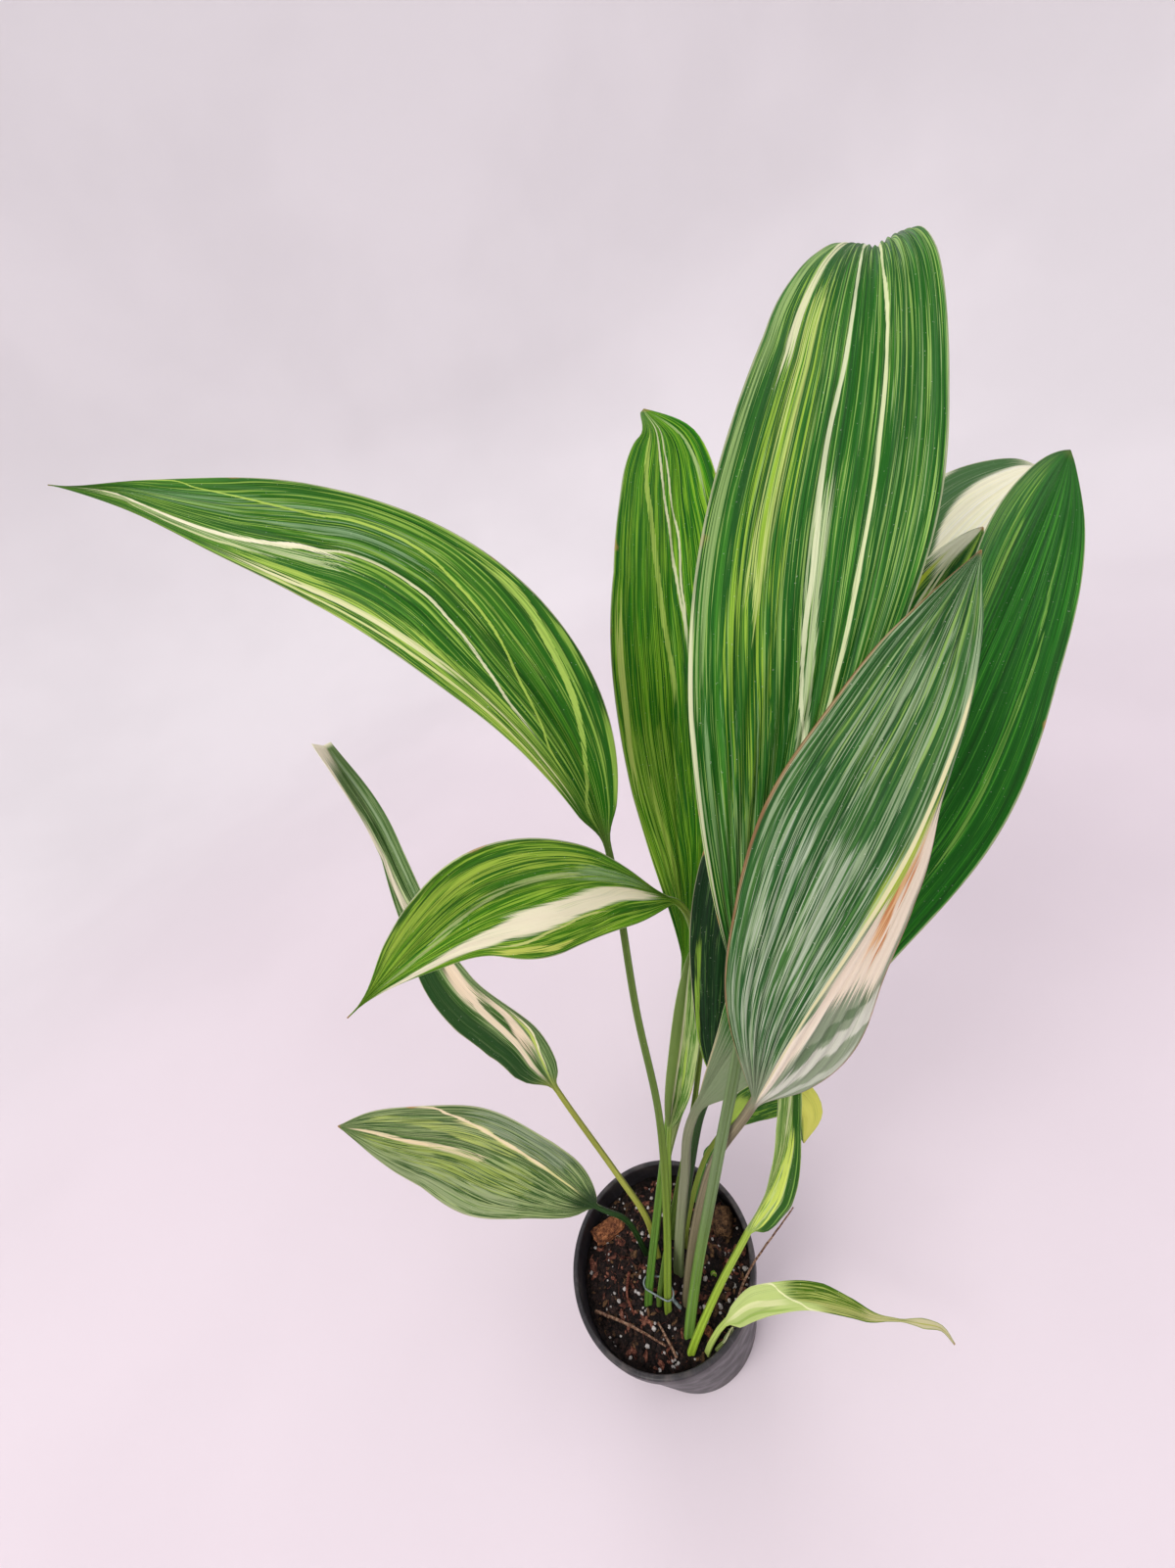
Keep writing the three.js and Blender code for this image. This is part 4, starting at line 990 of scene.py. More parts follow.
# %% [markdown]
# ## Leaf material
# The colour is built in the order that a painter would use: lanes of darker and lighter green, soft
# dark clouds, pale strips that crowd together where the look has a bundle, the solid stripes, a thin
# margin, then the stalk and the duller underside. A straight grid of strips looks printed, so they and
# the veins bend with the leaf's flow, and every band ends in single fibres. Leaves are satin: the
# roughness rises and falls a little along the veins, and a weak bump makes the veins glint.

# %% Leaf directions
def path_value(tree, along, path):
    """The place across, from -1 to 1, of a curve through the places in path."""
    follow = add_node(tree, "ShaderNodeFloatCurve", {"Value": along})
    points = follow.mapping.curves[0].points
    points[0].location = (0, (path[0][1] + 1) / 2)
    points[1].location = (1, (path[-1][1] + 1) / 2)
    for v, s in path:
        if 0 < v < 1:
            points.new(v, (s + 1) / 2)
    follow.mapping.update()
    return times_plus(tree, follow.outputs[0], 2.0, -1.0)


def veins_across(tree, across, along, look):
    """The place across that a vein keeps. A look's flow bends the veins between the two margins."""
    if "flow" not in look:
        return across
    inner = minus(tree, 1.0, times(tree, across, across))
    flow = path_value(tree, along, look["flow"])
    return minus(tree, across, times(tree, flow, inner))


def stripe_mask(tree, across, along, path, half_width, seed):
    """The mask of one stripe. Its middle follows a curve from the places in path."""
    middle = path_value(tree, along, path)
    ragged = min(0.08, 0.006 + half_width * 0.22)
    return use_group(tree, STRIPE, {
        "Across": across, "Along": along, "Middle": middle, "Half width": half_width,
        "Start": path[0][0], "End": path[-1][0], "Ragged": ragged, "Seed": seed,
    })


def lanes(tree, across, along, half_width_mm, lane_mm, breaks, cover, softness, seed):
    """Strips with a real width in millimetres. cover is about their share, from 0 to 1."""
    return use_group(tree, STRIPS, {
        "Across": across, "Along": along, "Count": half_width_mm / lane_mm, "Breaks": breaks,
        "Cover": cover, "Softness": softness, "Seed": seed,
    })


# %% Stalk and green
STALK_HALF_MM = 7.0
# Each lane: lighter or darker, its width in mm, its breaks, its cover and its strength.
GREEN_LANES = (("light", 1.7, 1.8, 0.4, 0.5), ("dark", 1.5, 1.4, 0.48, 0.6),
               ("light", 0.7, 3.4, 0.38, 0.45), ("dark", 0.7, 2.4, 0.46, 0.5))


def stalk_colour(tree, across, along, look, seed):
    """A stalk's colour: from foot to head, with ribs in darker and paler lines."""
    foot, head = (paint(*tone) for tone in look["stalk"])
    colour = blend(tree, remap(tree, along, -0.95, -0.35), foot, head)
    dark_rib = tuple(c * 0.4 for c in foot[:3]) + (1.0,)
    pale_rib = tuple(min(0.8, c * 1.5 + 0.03) for c in head[:3]) + (1.0,)
    dark = lanes(tree, across, along, STALK_HALF_MM, 1.1, 1.4, 0.6, 0.2, seed + 5.0)
    pale = lanes(tree, across, along, STALK_HALF_MM, 0.8, 1.8, 0.5, 0.2, seed + 6.0)
    colour = blend(tree, times(tree, dark, 0.6), colour, dark_rib)
    colour = blend(tree, times(tree, pale, 0.55), colour, pale_rib)
    edge = remap(tree, maths(tree, "ABSOLUTE", across), 0.75, 1.0)
    return blend(tree, times(tree, edge, 0.5), colour, dark_rib)


def green_lanes(tree, across, along, half, look, seed):
    """The green of a blade: broad and narrow lanes, lighter and darker, all along its length."""
    deep, mid = (paint(*tone) for tone in look["greens"])
    shade = 0.85 if look.get("pale") else 0.4
    tones = {
        "light": tuple(min(0.9, c * 1.45) for c in mid[:3]) + (1.0,),
        "dark": tuple(c * shade for c in deep[:3]) + (1.0,),
    }
    colour = blend(tree, lanes(tree, across, along, half, 4.5, 1.3, 0.5, 0.25, seed + 3.0), deep, mid)
    for tone, lane_mm, breaks, cover, strength in GREEN_LANES:
        mask = lanes(tree, across, along, half, lane_mm, breaks, cover, 0.14, seed + lane_mm * 9)
        colour = blend(tree, times(tree, mask, strength), colour, tones[tone])
    return colour


# %% Blade colour
CLOUD_SHARE, PALE_CLOUD_SHARE = 0.22, 0.03
# Widths in mm, breaks and strengths of the two sizes of strips, on the blade and in a bundle.
BLADE_STRIPS = ((1.3, 3.2, 0.7), (0.7, 6.5, 0.7))
BUNDLE_STRIPS = ((1.7, 2.6, 0.7), (0.7, 6.0, 0.85))


def blade_colour(tree, across, along, leaf, look, seed):
    """A blade's colour: green lanes, pale strips, bundles of strips and solid stripes."""
    half = leaf["half"]
    vein = veins_across(tree, across, along, look)
    colour = green_lanes(tree, vein, along, half, look, seed)
    cloud_share = PALE_CLOUD_SHARE if look.get("pale") else CLOUD_SHARE
    clouds = grain(tree, place(tree, across, along, seed), 3.0, 3.0)
    clouds = remap(tree, clouds, 0.4, 0.7, 0.0, cloud_share)
    colour = blend(tree, clouds, colour, paint(*DARK))
    tone, cover = look["strips"]
    for lane_mm, breaks, strength in BLADE_STRIPS:
        mask = lanes(tree, vein, along, half, lane_mm, breaks, cover, 0.07, seed + lane_mm * 10)
        colour = blend(tree, times(tree, mask, strength), colour, paint(*tone))
    for index, (tone, half_width, path, cover) in enumerate(look.get("bundles", [])):
        where = stripe_mask(tree, across, along, path, half_width, seed + 7.0 * index)
        crowd = times(tree, where, cover)
        for lane_mm, breaks, strength in BUNDLE_STRIPS:
            mask = lanes(tree, vein, along, half, lane_mm, breaks, crowd, 0.1, seed + lane_mm * 7 + index)
            inside = times(tree, mask, times(tree, where, strength))
            colour = blend(tree, inside, colour, paint(*tone))
    for index, (tone, half_width, path) in enumerate(look.get("stripes", [])):
        mask = stripe_mask(tree, across, along, path, half_width, seed + 10.0 * index)
        fibres = lanes(tree, vein, along, half, 0.9, 2.4, 0.35, 0.2, seed + 11.0 * index)
        worn = minus(tree, 0.95, times(tree, fibres, 0.35))
        colour = blend(tree, times(tree, mask, worn), colour, paint(*tone))
    return colour


# %% Leaf material
USUAL_DULLNESS = 0.1


def leaf_edges(tree, across, along, where, colour, look):
    """The thin pale margin, with a dry brown edge here and there, and the dry tip."""
    distance = maths(tree, "ABSOLUTE", across)
    margin_at = times_plus(tree, grain(tree, where, 40.0), 0.03, distance)
    margin = times(tree, remap(tree, margin_at, 0.99, 1.008), 0.5)
    colour = blend(tree, margin, colour, paint(*look.get("margin", IVORY)))
    crisp_at = times_plus(tree, grain(tree, where, 55.0, 2.0), 0.5, distance)
    crisp = times(tree, remap(tree, crisp_at, 1.31, 1.37), 0.7)
    colour = blend(tree, crisp, colour, paint(*STAIN))
    tip = remap(tree, times_plus(tree, grain(tree, where, 90.0), 0.03, along), 1.0, 1.02)
    return blend(tree, tip, colour, paint(*look.get("tip", STAIN)))


def leaf_material(name, leaf, look, seed):
    """A satin leaf with the greens, strips and stripes of its look."""
    material, tree, shader = new_material(name + "_finish")
    across = point_value(tree, "across")
    along = point_value(tree, "along")
    under = point_value(tree, "under")
    where = object_place(tree)
    colour = blade_colour(tree, across, along, leaf, look, seed)
    colour = leaf_edges(tree, across, along, where, colour, look)
    stalk = stalk_colour(tree, across, along, look, seed)
    colour = blend(tree, remap(tree, along, -0.02, 0.07), stalk, colour)
    duller = times(tree, times(tree, under, look.get("dull", USUAL_DULLNESS)), remap(tree, along, 0.0, 0.1))
    colour = blend(tree, duller, colour, paint(*GREY_GREEN))
    specks = remap(tree, grain(tree, where, 900.0, 1.0), 0.74, 0.78)
    colour = blend(tree, times(tree, specks, 0.3), colour, paint(222, 222, 208))
    vein = veins_across(tree, across, along, look)
    satin = use_group(tree, VEINS, {
        "Across": vein, "Along": along, "Count": 26.0, "Crossings": 30.0, "Seed": seed + 1.0})
    veins = use_group(tree, VEINS, {
        "Across": vein, "Along": along, "Count": leaf["half"], "Crossings": 110.0, "Seed": seed + 2.0})
    fill(tree, shader, {
        "Base Color": colour, "Roughness": remap(tree, satin, 0.3, 0.9, 0.36, 0.56),
        "Normal": bump(tree, veins, 0.8, 0.5)})
    shader.inputs["Specular IOR Level"].default_value = 0.15
    return material


# %% [markdown]
# ## The leaves
# Now each leaf is made from its measures and its look. Sheath and sprout are leaves too, only small.

# %% Make the leaves
DEEP_PLEATS = {"leaf_tall_front": 0.8, "leaf_front_bent": 1.0}
USUAL_PLEATS = 0.4
COLUMN_WIDTH = 1.7
SMALL_LEAVES = ("sheath_over_rim", "sprout")

for number, (name, leaf) in enumerate(LEAVES.items()):
    leaf["half"] = (leaf.get("left", leaf)["width"] + leaf.get("right", leaf)["width"]) / 4
    leaf["pleat"] = DEEP_PLEATS.get(name, USUAL_PLEATS if leaf["half"] > 20 else 0.0)
    leaf["columns"] = max(17, 2 * round(leaf["half"] / COLUMN_WIDTH) + 1)
    finish = leaf_material(name, leaf, LOOKS[name], float(number))
    slot = "leaf_sheath" if name in SMALL_LEAVES else name
    dress(make_leaf(name + "_fine", leaf, finish, number), slot, name)

# %% [markdown]
# ## Pot
# A nursery pot is thin moulded plastic: a tapered wall, a thicker band under a rolled lip, and holes in
# the floor. Its profile is turned about the axis. A screw modifier could turn it too, but points made in
# a loop let the lip be rounded exactly where it is touched most. Black plastic is never quite black: it
# is scuffed grey where pots were stacked, dusty at the foot, and has faint upright flow marks.

# %% Pot shape
POT_HEIGHT, POT_RIM_RADIUS, POT_BASE_RADIUS = 119, 75, 57
POT_WALL, POT_FLOOR = 1.6, 2.4
RIM_BAND, RIM_STEP, LIP_WIDTH = 11, 1.6, 4.4
DRAIN_RADIUS, DRAIN_CIRCLE, DRAIN_COUNT = 4.5, 43, 8
POT_SIDES = 144
EDGE_RADIUS = 1.1


def wall_radius(z):
    return POT_BASE_RADIUS + (POT_RIM_RADIUS - RIM_STEP - POT_BASE_RADIUS) * z / (POT_HEIGHT - RIM_BAND)


def rounded(corners, radii, steps=5):
    """An outline with each corner replaced by a short arc."""
    made = []
    for i, corner in enumerate(corners):
        radius = radii[i]
        here = np.array(corner, float)
        if radius == 0:
            made.append(here)
            continue
        before = np.array(corners[i - 1], float) - here
        after = np.array(corners[(i + 1) % len(corners)], float) - here
        reach = min(radius, 0.45 * np.linalg.norm(before), 0.45 * np.linalg.norm(after))
        first, last = here + unit(before) * reach, here + unit(after) * reach
        for step in range(steps + 1):
            w = step / steps
            made.append((1 - w) ** 2 * first + 2 * w * (1 - w) * here + w * w * last)
    return made


def ring(radius, height, sides):
    """Points round a circle about the pot's axis."""
    turns = np.arange(sides) * math.tau / sides
    return [(radius * math.cos(a), radius * math.sin(a), height) for a in turns]


def turned_faces(rings, sides):
    """Faces of a closed body made from a bottom point, rings of points, and a top point."""
    faces = []
    last = 1 + (rings - 1) * sides
    for k in range(sides):
        follow = (k + 1) % sides
        faces.append((0, 1 + follow, 1 + k))
        for a in range(1, last, sides):
            faces.append((a + k, a + follow, a + sides + follow, a + sides + k))
        faces.append((last + k, last + follow, last + sides))
    return faces


def lathe(profile, sides):
    """Turns a closed outline that starts and ends on the axis, in mm, about +Z."""
    points = [(0, 0, profile[0][1])]
    for r, z in profile[1:-1]:
        points += ring(r, z, sides)
    points.append((0, 0, profile[-1][1]))
    return np.array(points) * MM, turned_faces(len(profile) - 2, sides)


def pot_profile():
    band = POT_HEIGHT - RIM_BAND
    inner = POT_RIM_RADIUS - LIP_WIDTH
    corners = [
        (0, 0), (POT_BASE_RADIUS - 2, 0), (POT_BASE_RADIUS, 2), (wall_radius(band - 1), band - 1),
        (POT_RIM_RADIUS - 0.6, band), (POT_RIM_RADIUS, POT_HEIGHT - 1.2), (POT_RIM_RADIUS - 1, POT_HEIGHT),
        (inner + 1, POT_HEIGHT), (inner, POT_HEIGHT - 1.2), (inner + 0.4, POT_HEIGHT - 4),
        (wall_radius(band - 4) - POT_WALL, band - 4),
        (wall_radius(POT_FLOOR + 2) - POT_WALL, POT_FLOOR + 2),
        (POT_BASE_RADIUS - POT_WALL - 1.8, POT_FLOOR), (0, POT_FLOOR),
    ]
    radii = [0] + [EDGE_RADIUS] * (len(corners) - 2) + [0]
    return rounded(corners, radii)


def cut_drain_holes(pot):
    """Cuts the holes in the floor with one boolean, applied."""
    cutter_mesh = bpy.data.meshes.new("drain_cutter")
    tool = bmesh.new()
    for k in range(DRAIN_COUNT):
        angle = math.tau * (k + 0.5) / DRAIN_COUNT
        at = Vector((DRAIN_CIRCLE * math.cos(angle), DRAIN_CIRCLE * math.sin(angle), 0)) * MM
        bmesh.ops.create_cone(tool, cap_ends=True, segments=32, radius1=DRAIN_RADIUS * MM,
                              radius2=DRAIN_RADIUS * MM, depth=0.02, matrix=Matrix.Translation(at))
    tool.to_mesh(cutter_mesh)
    tool.free()
    cutter = bpy.data.objects.new("drain_cutter", cutter_mesh)
    bpy.context.collection.objects.link(cutter)
    cut = pot.modifiers.new("drain_holes", "BOOLEAN")
    cut.object = cutter
    cut.solver = "EXACT"
    bpy.context.view_layer.update()
    cut_mesh = bpy.data.meshes.new_from_object(pot.evaluated_get(bpy.context.evaluated_depsgraph_get()))
    pot.modifiers.clear()
    pot.data = cut_mesh
    bpy.data.objects.remove(cutter)


# %% Pot finish
def make_scuff_group():
    """Fine marks that run up and down a moulded wall."""
    group, given, result = new_group(
        "Scuffs", {"Turn": 0, "Height": 0, "Density": 60, "Length": 12, "Cover": 0.3, "Seed": 0},
        {"Mask": "NodeSocketFloat"})
    at = stretched(group, given["Turn"], given["Density"], given["Height"], given["Length"], given["Seed"])
    marks = grain(group, at, 1.0, 4.0, 0.6)
    low = minus(group, 0.75, times(group, given["Cover"], 0.4))
    group.links.new(remap(group, marks, low, maths(group, "ADD", low, 0.16)), result["Mask"])
    return group


def pot_material():
    material, tree, shader = new_material("pot_black_plastic")
    where = object_place(tree)
    xyz = add_node(tree, "ShaderNodeSeparateXYZ", {0: where})
    turn = maths(tree, "ARCTAN2", xyz.outputs["Y"], xyz.outputs["X"])
    height = maths(tree, "DIVIDE", xyz.outputs["Z"], POT_HEIGHT * MM)
    flow = use_group(tree, SCUFFS, {"Turn": turn, "Height": height, "Density": 30.0, "Length": 1.6,
                                    "Cover": 0.55, "Seed": 2.0})
    scratch = use_group(tree, SCUFFS, {"Turn": turn, "Height": height, "Density": 240.0, "Length": 14.0,
                                       "Cover": 0.28, "Seed": 7.0})
    colour = blend(tree, times(tree, flow, 0.6), paint(36, 34, 38), paint(64, 60, 66))
    colour = blend(tree, times(tree, scratch, 0.5), colour, paint(128, 122, 126))
    dust_cloud = grain(tree, where, 45.0, 5.0, 0.6)
    low_dust = times(tree, remap(tree, height, 0.25, 0.0), remap(tree, dust_cloud, 0.4, 0.7))
    band_dust = times(tree, remap(tree, height, 0.86, 0.98), remap(tree, dust_cloud, 0.45, 0.75))
    dust = times(tree, maths(tree, "MAXIMUM", low_dust, band_dust), 0.45)
    colour = blend(tree, dust, colour, paint(134, 124, 120))
    crumbs = remap(tree, grain(tree, where, 420.0, 2.0), 0.7, 0.74)
    colour = blend(tree, times(tree, crumbs, 0.5), colour, paint(92, 70, 54))
    rough = remap(tree, grain(tree, where, 70.0, 4.0), 0.3, 0.7, 0.38, 0.56)
    rough = times_plus(tree, scratch, 0.15, times_plus(tree, dust, 0.4, rough))
    pitted = maths(tree, "ADD", grain(tree, where, 1500.0, 2.0), times(tree, flow, -0.6))
    fill(tree, shader, {
        "Base Color": colour, "Roughness": rough, "Normal": bump(tree, pitted, 0.35, 0.15)})
    shader.inputs["Specular IOR Level"].default_value = 0.5
    return material


SCUFFS = make_scuff_group()
pot_points, pot_faces = lathe(pot_profile(), POT_SIDES)
pot = make_object("pot_moulding", pot_points, pot_faces, pot_material())
cut_drain_holes(pot)
dress(pot, "pot_plastic", "pot")

# %% [markdown]
# ## Potting mix
# The mix is dark peat with crumbs of bark and white grains of perlite. The bed is one closed body, whose
# top is pushed up and down by two sizes of noise. Thousands of grains could be instanced, but joined
# meshes travel better, so grains of one kind share one object. Each is a small ball pushed out of shape.

# %% Soil bed
SOIL_TOP, SOIL_EDGE_DROP, SOIL_BEVEL = 102, 3, 2
SOIL_LEVELS = (50, 96)
CLOD_HEIGHT, CLOD_SIZE = 1.8, 7
PIT_DEPTH, PIT_SIZE = 1.1, 2.1
CLEARANCE = 0.3
SOIL_RINGS, SOIL_SIDES = 58, 190
SOIL_BOTTOM = POT_FLOOR + CLEARANCE
SOIL_SIDE_GAP = POT_WALL + 2 * CLEARANCE
SOIL_RADIUS = wall_radius(SOIL_TOP - SOIL_EDGE_DROP) - SOIL_SIDE_GAP


def soil_height(x, y):
    """The broad shape of the soil's top, in mm, a little lower at the wall."""
    broad = math.sin(0.13 * x + 1.3) * math.cos(0.11 * y) + 0.6 * math.sin(0.31 * x - 0.27 * y)
    return SOIL_TOP + broad - SOIL_EDGE_DROP * (math.hypot(x, y) / POT_RIM_RADIUS) ** 4


def crumbly(x, y):
    """The soil's top with its clods and pits."""
    clods = noise.noise(Vector((x / CLOD_SIZE, y / CLOD_SIZE, 3)))
    pits = noise.noise(Vector((x / PIT_SIZE, y / PIT_SIZE, 9)))
    return soil_height(x, y) + CLOD_HEIGHT * clods + PIT_DEPTH * pits


def soil_bed(material):
    levels = [(POT_BASE_RADIUS - SOIL_SIDE_GAP - SOIL_BEVEL, SOIL_BOTTOM)]
    levels += [(wall_radius(z) - SOIL_SIDE_GAP, z) for z in (SOIL_BOTTOM + SOIL_BEVEL, *SOIL_LEVELS)]
    points = [(0, 0, SOIL_BOTTOM)]
    for r, z in levels:
        points += ring(r, z, SOIL_SIDES)
    for step in range(SOIL_RINGS, 0, -1):
        flat_ring = ring(SOIL_RADIUS * step / SOIL_RINGS, 0, SOIL_SIDES)
        points += [(x, y, crumbly(x, y)) for x, y, _ in flat_ring]
    points.append((0, 0, crumbly(0, 0)))
    faces = turned_faces(len(levels) + SOIL_RINGS, SOIL_SIDES)
    return make_object("soil_bed", np.array(points) * MM, faces, material)


# %% [markdown]
# Peat, bark and perlite all look like earth up close: patches of tone with small dark pits. One group
# gives that to each of them, at its own scale. The darkness in the pits is partly the earth's own tone
# and partly painted shade, since each colour follows its bump and is darkest where the bump is lowest.

# %% Earthy finishes
def make_earth_group():
    """Patches and pits: 0 in the hollows, 1 on the high spots."""
    group, given, result = new_group("Earth", {"Scale": 100, "Pits": 0.5, "Seed": 0},
                                     {"Mask": "NodeSocketFloat"})
    where = object_place(group)
    shift = add_node(group, "ShaderNodeVectorMath", {0: where, 1: place(group, given["Seed"], 0.0)},
                     operation="ADD")
    patches = grain(group, shift.outputs[0], given["Scale"], 6.0, 0.65)
    fine = grain(group, shift.outputs[0], times(group, given["Scale"], 6.0), 3.0)
    mixed = times_plus(group, minus(group, fine, 0.5), given["Pits"], patches)
    group.links.new(remap(group, mixed, 0.3, 0.7), result["Mask"])
    return group


def earth_material(name, hollow, middle, high, scale, depth_mm, roughness):
    """A matt material that runs from the hollow's colour over the middle one to the high one, following
    its bump, so the hollow's colour is partly painted shade in the pits.
    """
    material, tree, shader = new_material(name)
    mask = use_group(tree, EARTH, {"Scale": scale, "Pits": 0.6, "Seed": 0.0})
    tint = point_value(tree, "tint")
    # Darker where the bump is low: painted shade in the pits, over patches of the earth's own tone.
    colour = blend(tree, remap(tree, mask, 0.0, 0.5), paint(*hollow), paint(*middle))
    colour = blend(tree, remap(tree, mask, 0.5, 1.0), colour, paint(*high))
    colour = blend(tree, times(tree, tint, 0.6), colour, paint(*hollow))
    rough = remap(tree, mask, 0.0, 1.0, roughness + 0.08, roughness - 0.08)
    fill(tree, shader, {
        "Base Color": colour, "Roughness": rough, "Normal": bump(tree, mask, 0.9, depth_mm)})
    shader.inputs["Specular IOR Level"].default_value = 0.3
    return material


EARTH = make_earth_group()
peat = earth_material("peat", (6, 4, 4), (18, 12, 11), (44, 28, 24), 260.0, 0.6, 0.9)
crumb = earth_material("peat_crumb", (12, 8, 7), (34, 22, 19), (70, 46, 38), 420.0, 0.4, 0.88)
perlite = earth_material("perlite", (150, 144, 140), (214, 208, 204), (240, 236, 232), 700.0, 0.25, 0.85)
bark = earth_material("orange_bark", (58, 32, 22), (126, 76, 46), (178, 116, 74), 330.0, 0.4, 0.8)
red_bark = earth_material("reddish_bark", (52, 24, 18), (106, 58, 44), (168, 112, 90), 330.0, 0.4, 0.8)
dark_bark = earth_material("brown_bark", (34, 23, 17), (86, 60, 38), (134, 100, 66), 300.0, 0.4, 0.82)
bed = soil_bed(peat)
set_values(bed, "tint", np.zeros(len(bed.data.vertices)))
dress(bed, "potting_soil", "soil")


# %% Grains
FEET = [leaf["stalk"][0][:2] for leaf in LEAVES.values()]
CLUSTER_SIZE = 11


def ball_mesh(subdivisions, moved):
    """A ball's points, each put where the moved function says, and its faces."""
    ball = bmesh.new()
    bmesh.ops.create_icosphere(ball, subdivisions=subdivisions, radius=1)
    points = [moved(vertex.co) for vertex in ball.verts]
    faces = [tuple(v.index for v in face.verts) for face in ball.faces]
    ball.free()
    return points, faces


def shifted(faces, count):
    """The same faces, for points that come after count others."""
    return [tuple(count + i for i in face) for face in faces]


def lump(radius, stretch, seed, subdivisions):
    """Points and faces of one ball pushed out of shape, about its own centre, in mm."""
    def moved(p):
        push = 1 + 0.5 * noise.noise(p * 1.7 + Vector((seed, 0, 0)))
        push += 0.22 * noise.noise(p * 4.5 + Vector((0, seed, 0)))
        return Vector(c * push * radius * s for c, s in zip(p, stretch))
    return ball_mesh(subdivisions, moved)


def scatter(name, count, sizes, stretch, material, seed, sink, subdivisions=2, smooth=False):
    """Grains of one kind, lying on the soil clear of the stalks, joined in one mesh."""
    draw = random.Random(seed)
    points, faces, tints = [], [], []
    while count:
        angle, distance = draw.uniform(0, math.tau), (SOIL_RADIUS - sizes[1]) * math.sqrt(draw.random())
        x, y = distance * math.cos(angle), distance * math.sin(angle)
        size = draw.uniform(*sizes) * draw.uniform(0.6, 1)
        if noise.noise(Vector((x / CLUSTER_SIZE, y / CLUSTER_SIZE, seed))) < draw.uniform(-0.5, 0.35):
            continue
        if min(math.dist((x, y), foot) for foot in FEET) < size + 3:
            continue
        count -= 1
        shape, sides = lump(size, stretch, draw.uniform(0, 100), subdivisions)
        turn = Matrix.Rotation(draw.uniform(0, math.tau), 3, "Z")
        turn = turn @ Matrix.Rotation(draw.uniform(-0.6, 0.6), 3, "X")
        at = Vector((x, y, crumbly(x, y) + size * stretch[2] * (1 - 2 * sink)))
        faces += shifted(sides, len(points))
        points += [(turn @ p + at) * MM for p in shape]
        tints += [draw.random() ** 2] * len(shape)
    grains = make_object(name, points, faces, material, smooth)
    set_values(grains, "tint", tints)
    return dress(grains, "potting_soil", "soil")


scatter("soil_crumbs", 1500, (0.6, 1.7), (1, 1, 0.8), crumb, 4, 0.35, subdivisions=1)
scatter("soil_clods", 210, (1.7, 3.8), (1, 0.9, 0.6), crumb, 5, 0.4)
scatter("perlite_grains", 250, (0.7, 2.1), (1, 0.9, 0.8), perlite, 6, 0.3)
scatter("bark_bits", 220, (0.9, 3.2), (1.5, 0.7, 0.4), red_bark, 7, 0.3)
scatter("brown_bits", 190, (0.9, 3.0), (1.6, 0.7, 0.4), dark_bark, 8, 0.3)

# %% [markdown]
# ## Litter on the soil
# Larger bits of bark and some dead strands lie on top. Bark splits along its layers, so a chip is a
# flat block with stepped sides. A twig is a tube along a bent line that thins out and has small knots.

# %% Bark chips
CHIPS = {
    "bark_chip_left": {"at": (-40, 40, 104), "size": (34, 17, 8), "turn": 12, "finish": bark},
    "bark_chip_right": {"at": (56, 14, 104), "size": (18, 28, 10), "turn": -20, "finish": dark_bark},
    "bark_chip_front": {"at": (19, -50, 103), "size": (6, 7, 5), "turn": 30, "finish": bark},
}
LAYER_COUNT, SQUARENESS = 5, 0.55


def make_chip(name, chip, seed):
    """A ball pushed towards a block, then split into layers and roughened."""
    turn = Matrix.Rotation(math.radians(chip["turn"]), 3, "Z")
    tints = []

    def moved(p):
        block = Vector(math.copysign(abs(c) ** SQUARENESS, c) for c in p)
        coarse = noise.noise(p * 1.4 + Vector((seed, 0, 0)))
        fine = noise.noise(Vector((p.x * 3, p.y * 9, p.z * 3 + seed)))
        step = math.sin(p.z * LAYER_COUNT * math.pi + 2 * coarse)
        block *= 0.86 + 0.16 * coarse + 0.05 * fine + 0.035 * step
        shape = Vector(c * size / 2 for c, size in zip(block, chip["size"]))
        tints.append(max(0.0, -step) * 0.8)
        return (turn @ shape + Vector(chip["at"])) * MM

    points, faces = ball_mesh(5, moved)
    made = make_object(name + "_split", points, faces, chip["finish"])
    set_values(made, "tint", tints)
    return dress(made, "bark", name)


for number, (name, chip) in enumerate(CHIPS.items()):
    make_chip(name, chip, 10 * number + 3)

# %% Twigs and strands
TWIGS = {
    "twig_long": {"points": [(-64, -12, 103), (-38, -30, 104), (-15, -49, 103)], "radius": (1.2, 0.7)},
    "twig_short": {"points": [(-17, -34, 103), (-14, -42, 105), (-9, -58, 103)], "radius": (0.7, 1.2)},
    "root_strand": {"points": [(-31, 5, 103), (-36, -10, 104), (-34, -24, 103)], "radius": (1.2, 0.6)},
    "dry_stalk": {"points": [(46, -40, 101), (58, -34, 118), (76, -26, 129), (114, -9, 139)],
                  "radius": (1.0, 0.5)},
}
TUBE_SIDES = 12
TWIG_STEP = 0.9
WANDER_LENGTH, WANDER = 9, 0.5
WANDER_SEED = 1795551631


